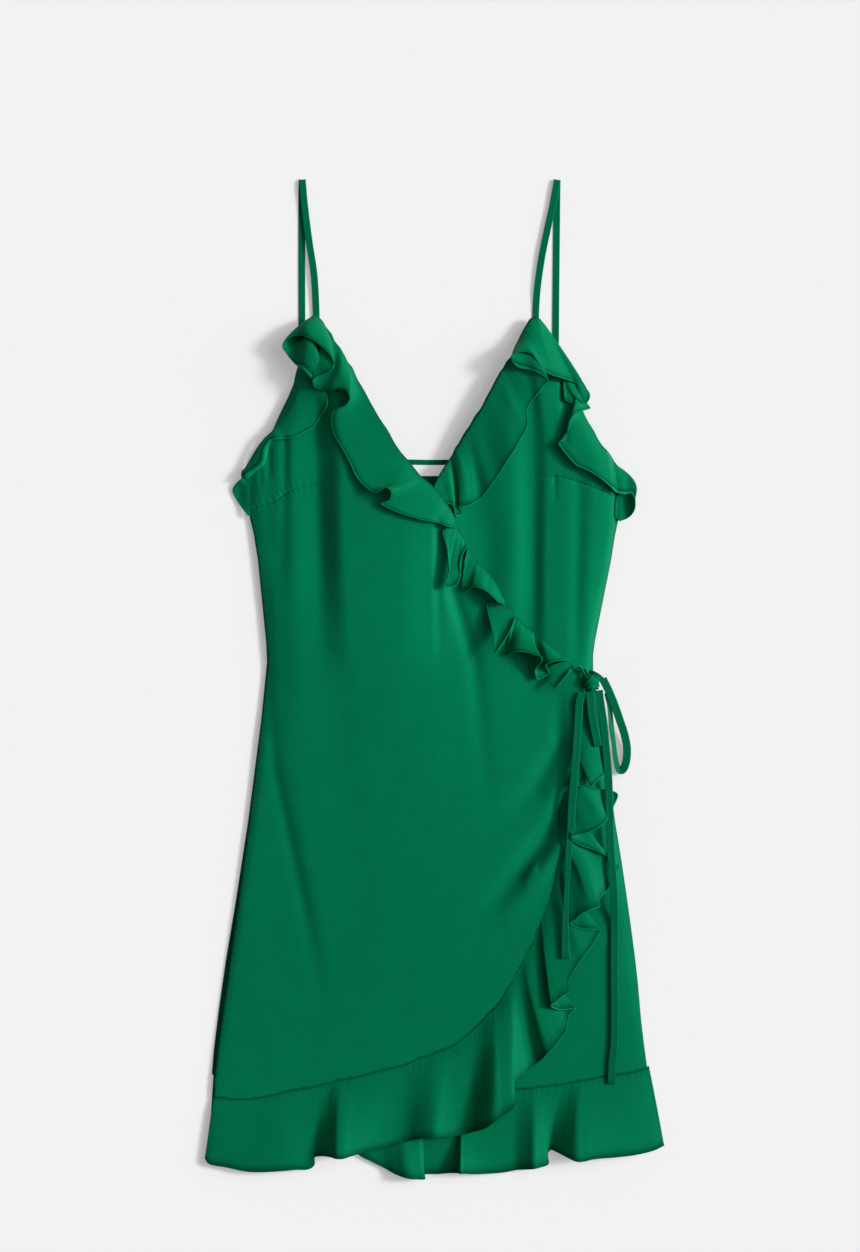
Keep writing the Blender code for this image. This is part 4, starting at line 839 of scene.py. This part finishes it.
HEM_Y = -377.0
HIDDEN_DEPTH = 66.0
HIDDEN_LIFT = 0.3
BACK_RUFFLE = [(x, HEM_Y, x * 1.01, HEM_Y - HIDDEN_DEPTH / 2, HIDDEN_LIFT,
                x * 1.02, HEM_Y - HIDDEN_DEPTH, HIDDEN_LIFT)
               for x in (-210, -140, -70, 0, 70, 140, 202)]

edge_seam = curve(EDGE_RUFFLE, steps=4)[:, :2].tolist()
hem_seam = curve(HEM_RUFFLE, steps=4)[:, :2].tolist()
OVER = OVER_ARMHOLE + OVER_NECK + edge_seam + OVER_SIDE
UNDER = UNDER_SIDE + hem_seam + UNDER_WAIST + UNDER_NECK + UNDER_ARMHOLE
BACK = BACK_SIDE + [(-211, HEM_Y), (203, HEM_Y)] + UNDER_SIDE[::-1] + BACK_TOP

# ---- heights of the layers
BACK_Z = 0.5  # heights of each layer's cloth where it lies flat
UNDER_Z = 1.8
OVER_Z = 3.1
LAYER = 1.3  # one layer lying on another, as the CAD has it
RUFFLE_CLEAR = 0.5
EDGE_CLEAR = 0.9  # how much the wrap's edge ruffle lifts off as it leaves its panel
OVERHANG_DROP = 3.0  # how far a ruffle drops where it hangs past its panel
OVERHANG_REACH = 12.0
FOLD_FADE = 12.0  # how far from the sides the smaller folds begin
SEAM_REACH = 7.0  # how far a seam's gathers run out of it
SEAM_PITCH = 5.5
SEAM_UNEVEN = (1.7, 6.0)  # by how much, and how slowly, their pitch wanders
SEAM_ENDS = (4.0, 14.0)  # over what length they fade at the seam's two ends
SEAM_RIPPLE = 0.14
SEAM_DEPTH = 1.1
SEAM_WIDTH = 0.9
CROSSING = (10, 166)  # where the over front climbs over the under front's ruffle
CROSSING_REACH = 26
CROSSING_CLIMB = 4.0


def gathers(x, y, seam):
    """A sewn groove along a seam, with small gathers running out of it."""
    line = curve(seam).tolist()
    far, place = line_distance(x, y, line)
    length = lengths(np.array(line))[-1]
    here = smooth(place / SEAM_ENDS[0]) * smooth((length - place) / SEAM_ENDS[1])
    phase = 2 * math.pi * place / SEAM_PITCH + SEAM_UNEVEN[0] * np.sin(place / SEAM_UNEVEN[1])
    ripple = SEAM_RIPPLE * np.sin(phase)
    return here * (ripple * np.exp(-((far / SEAM_REACH) ** 2))
                   - SEAM_DEPTH * np.exp(-((far / SEAM_WIDTH) ** 2)))


sections = curve(BODY)[::-1]


def body(x, y):
    """How far the two fronts stand above lying flat: both follow it, so they lie on each other."""
    x, y = np.asarray(x, float), np.asarray(y, float)
    rows = np.stack([np.interp(y, sections[:, 0], column) for column in sections[:, 1:].T], axis=-1)
    place, lift = rows[..., 0::2], rows[..., 1::2]
    gap = np.maximum(np.diff(place, axis=-1), 1e-6)
    slope = np.diff(lift, axis=-1) / gap
    before, after = slope[..., :-1], slope[..., 1:]
    total = np.where(before * after > 0, before + after, 1.0)
    lean = np.where(before * after > 0, 2 * before * after / total, 0.0)
    lean = np.concatenate([slope[..., :1], lean, slope[..., -1:]], axis=-1)
    k = np.clip(np.sum(x[..., None] >= place, axis=-1) - 1, 0, gap.shape[-1] - 1)[..., None]

    def at(values, shift=0):
        return np.take_along_axis(values, k + shift, axis=-1)[..., 0]

    width = at(gap)
    t = np.clip((x - at(place)) / width, 0.0, 1.0)
    found = ((1 + 2 * t) * (1 - t) ** 2 * at(lift) + t * (1 - t) ** 2 * width * at(lean)
             + t * t * (3 - 2 * t) * at(lift, 1) + t * t * (t - 1) * width * at(lean, 1))
    inside = (x > place[..., 0]) & (x < place[..., -1])
    soft = smooth(np.minimum(x - place[..., 0], place[..., -1] - x) / FOLD_FADE)
    return np.where(inside, np.maximum(0.0, found + soft * folds(x, y, FOLDS)), 0.0)


def over_height(x, y):
    far = np.hypot(x - CROSSING[0], y - CROSSING[1])
    climb = CROSSING_CLIMB * np.exp(-((far / CROSSING_REACH) ** 2))
    return OVER_Z + np.maximum(0.0, body(x, y) + gathers(x, y, OVER_SEAM)) + climb


def under_height(x, y):
    return UNDER_Z + np.maximum(0.0, body(x, y) + gathers(x, y, UNDER_SEAM))


def back_height(x, y):
    return np.full(np.shape(x), BACK_Z)


def overhang(x, y, outline):
    """How far a ruffle has left the edge of its front, from 0 to 1."""
    return smooth(-outline_distance(x, y, outline) / OVERHANG_REACH)


def on_over(x, y):
    return over_height(x, y) + LAYER + RUFFLE_CLEAR - OVERHANG_DROP * overhang(x, y, OVER)


def on_under(x, y):
    return under_height(x, y) + LAYER + RUFFLE_CLEAR - OVERHANG_DROP * overhang(x, y, UNDER)


def at_over_edge(x, y):
    return OVER_Z + body(x, y) + EDGE_CLEAR * overhang(x, y, OVER)


def at_under_edge(x, y):
    return UNDER_Z + body(x, y)


# ---- panels and ruffles
BACK_SPACING = 8.0
FRONT_SPACING = 2.2
SEAM_TUCK = 1.5  # how far a ruffle's seam lies under its panel

back = panel("back_cloth", "back_panel", BACK, back_height, BACK_SPACING)
under = panel("under_front_cloth", "under_front", UNDER, under_height, FRONT_SPACING, UNDER_SEAM)
over = panel("over_front_cloth", "over_front", OVER, over_height, FRONT_SPACING, OVER_SEAM)

under_neck = ruffle("under_neck_ruffle", UNDER_RUFFLE, on_under)
under_hem = ruffle("under_hem_ruffle", HEM_RUFFLE, at_under_edge, SEAM_TUCK, steps=10)
over_neck = ruffle("over_neck_ruffle", OVER_RUFFLE, on_over)
over_edge = ruffle("over_edge_ruffle", EDGE_RUFFLE, at_over_edge, SEAM_TUCK)
back_hem = ruffle("back_hem_ruffle", BACK_RUFFLE, back_height, steps=30, across=8)

# ---- straps and back cord
RIGHT_STRAP = [
    (-126, 193, 0.5), (-126, 330, 0.5), (-126, 462, 0.5), (-125.8, 472, 0.6), (-125.7, 473, 1.4),
    (-125.5, 472, 2.3), (-123.5, 450, 2.6), (-119, 414, 2.8), (-114.5, 384, 2.6), (-112.6, 352, 1.9),
    (-112.3, 334, 1.7),
]
LEFT_STRAP = [
    (114.5, 193, 0.5), (115, 330, 0.5), (116.3, 462, 0.5), (116.5, 472, 0.6), (116.6, 473, 1.4),
    (116.4, 472, 2.3), (112, 448, 2.6), (107.4, 427, 2.6), (101.7, 399, 2.6), (97.4, 368, 1.9),
    (96.2, 350, 0.8), (95.8, 334, 0.5),
]
BACK_CORD = [(-122.4, 207, 0.5), (-60, 206, 0.5), (0, 204.8, 0.5), (60, 206, 0.5), (111.2, 207, 0.5)]
STRAP_WIDTH = 6.6
CORD_WIDTH = 5.0
STRAP_THICK = 0.95
band("right_strap", RIGHT_STRAP, STRAP_WIDTH, STRAP_THICK)
band("left_strap", LEFT_STRAP, STRAP_WIDTH, STRAP_THICK)
band("back_cord", BACK_CORD, CORD_WIDTH, STRAP_THICK)
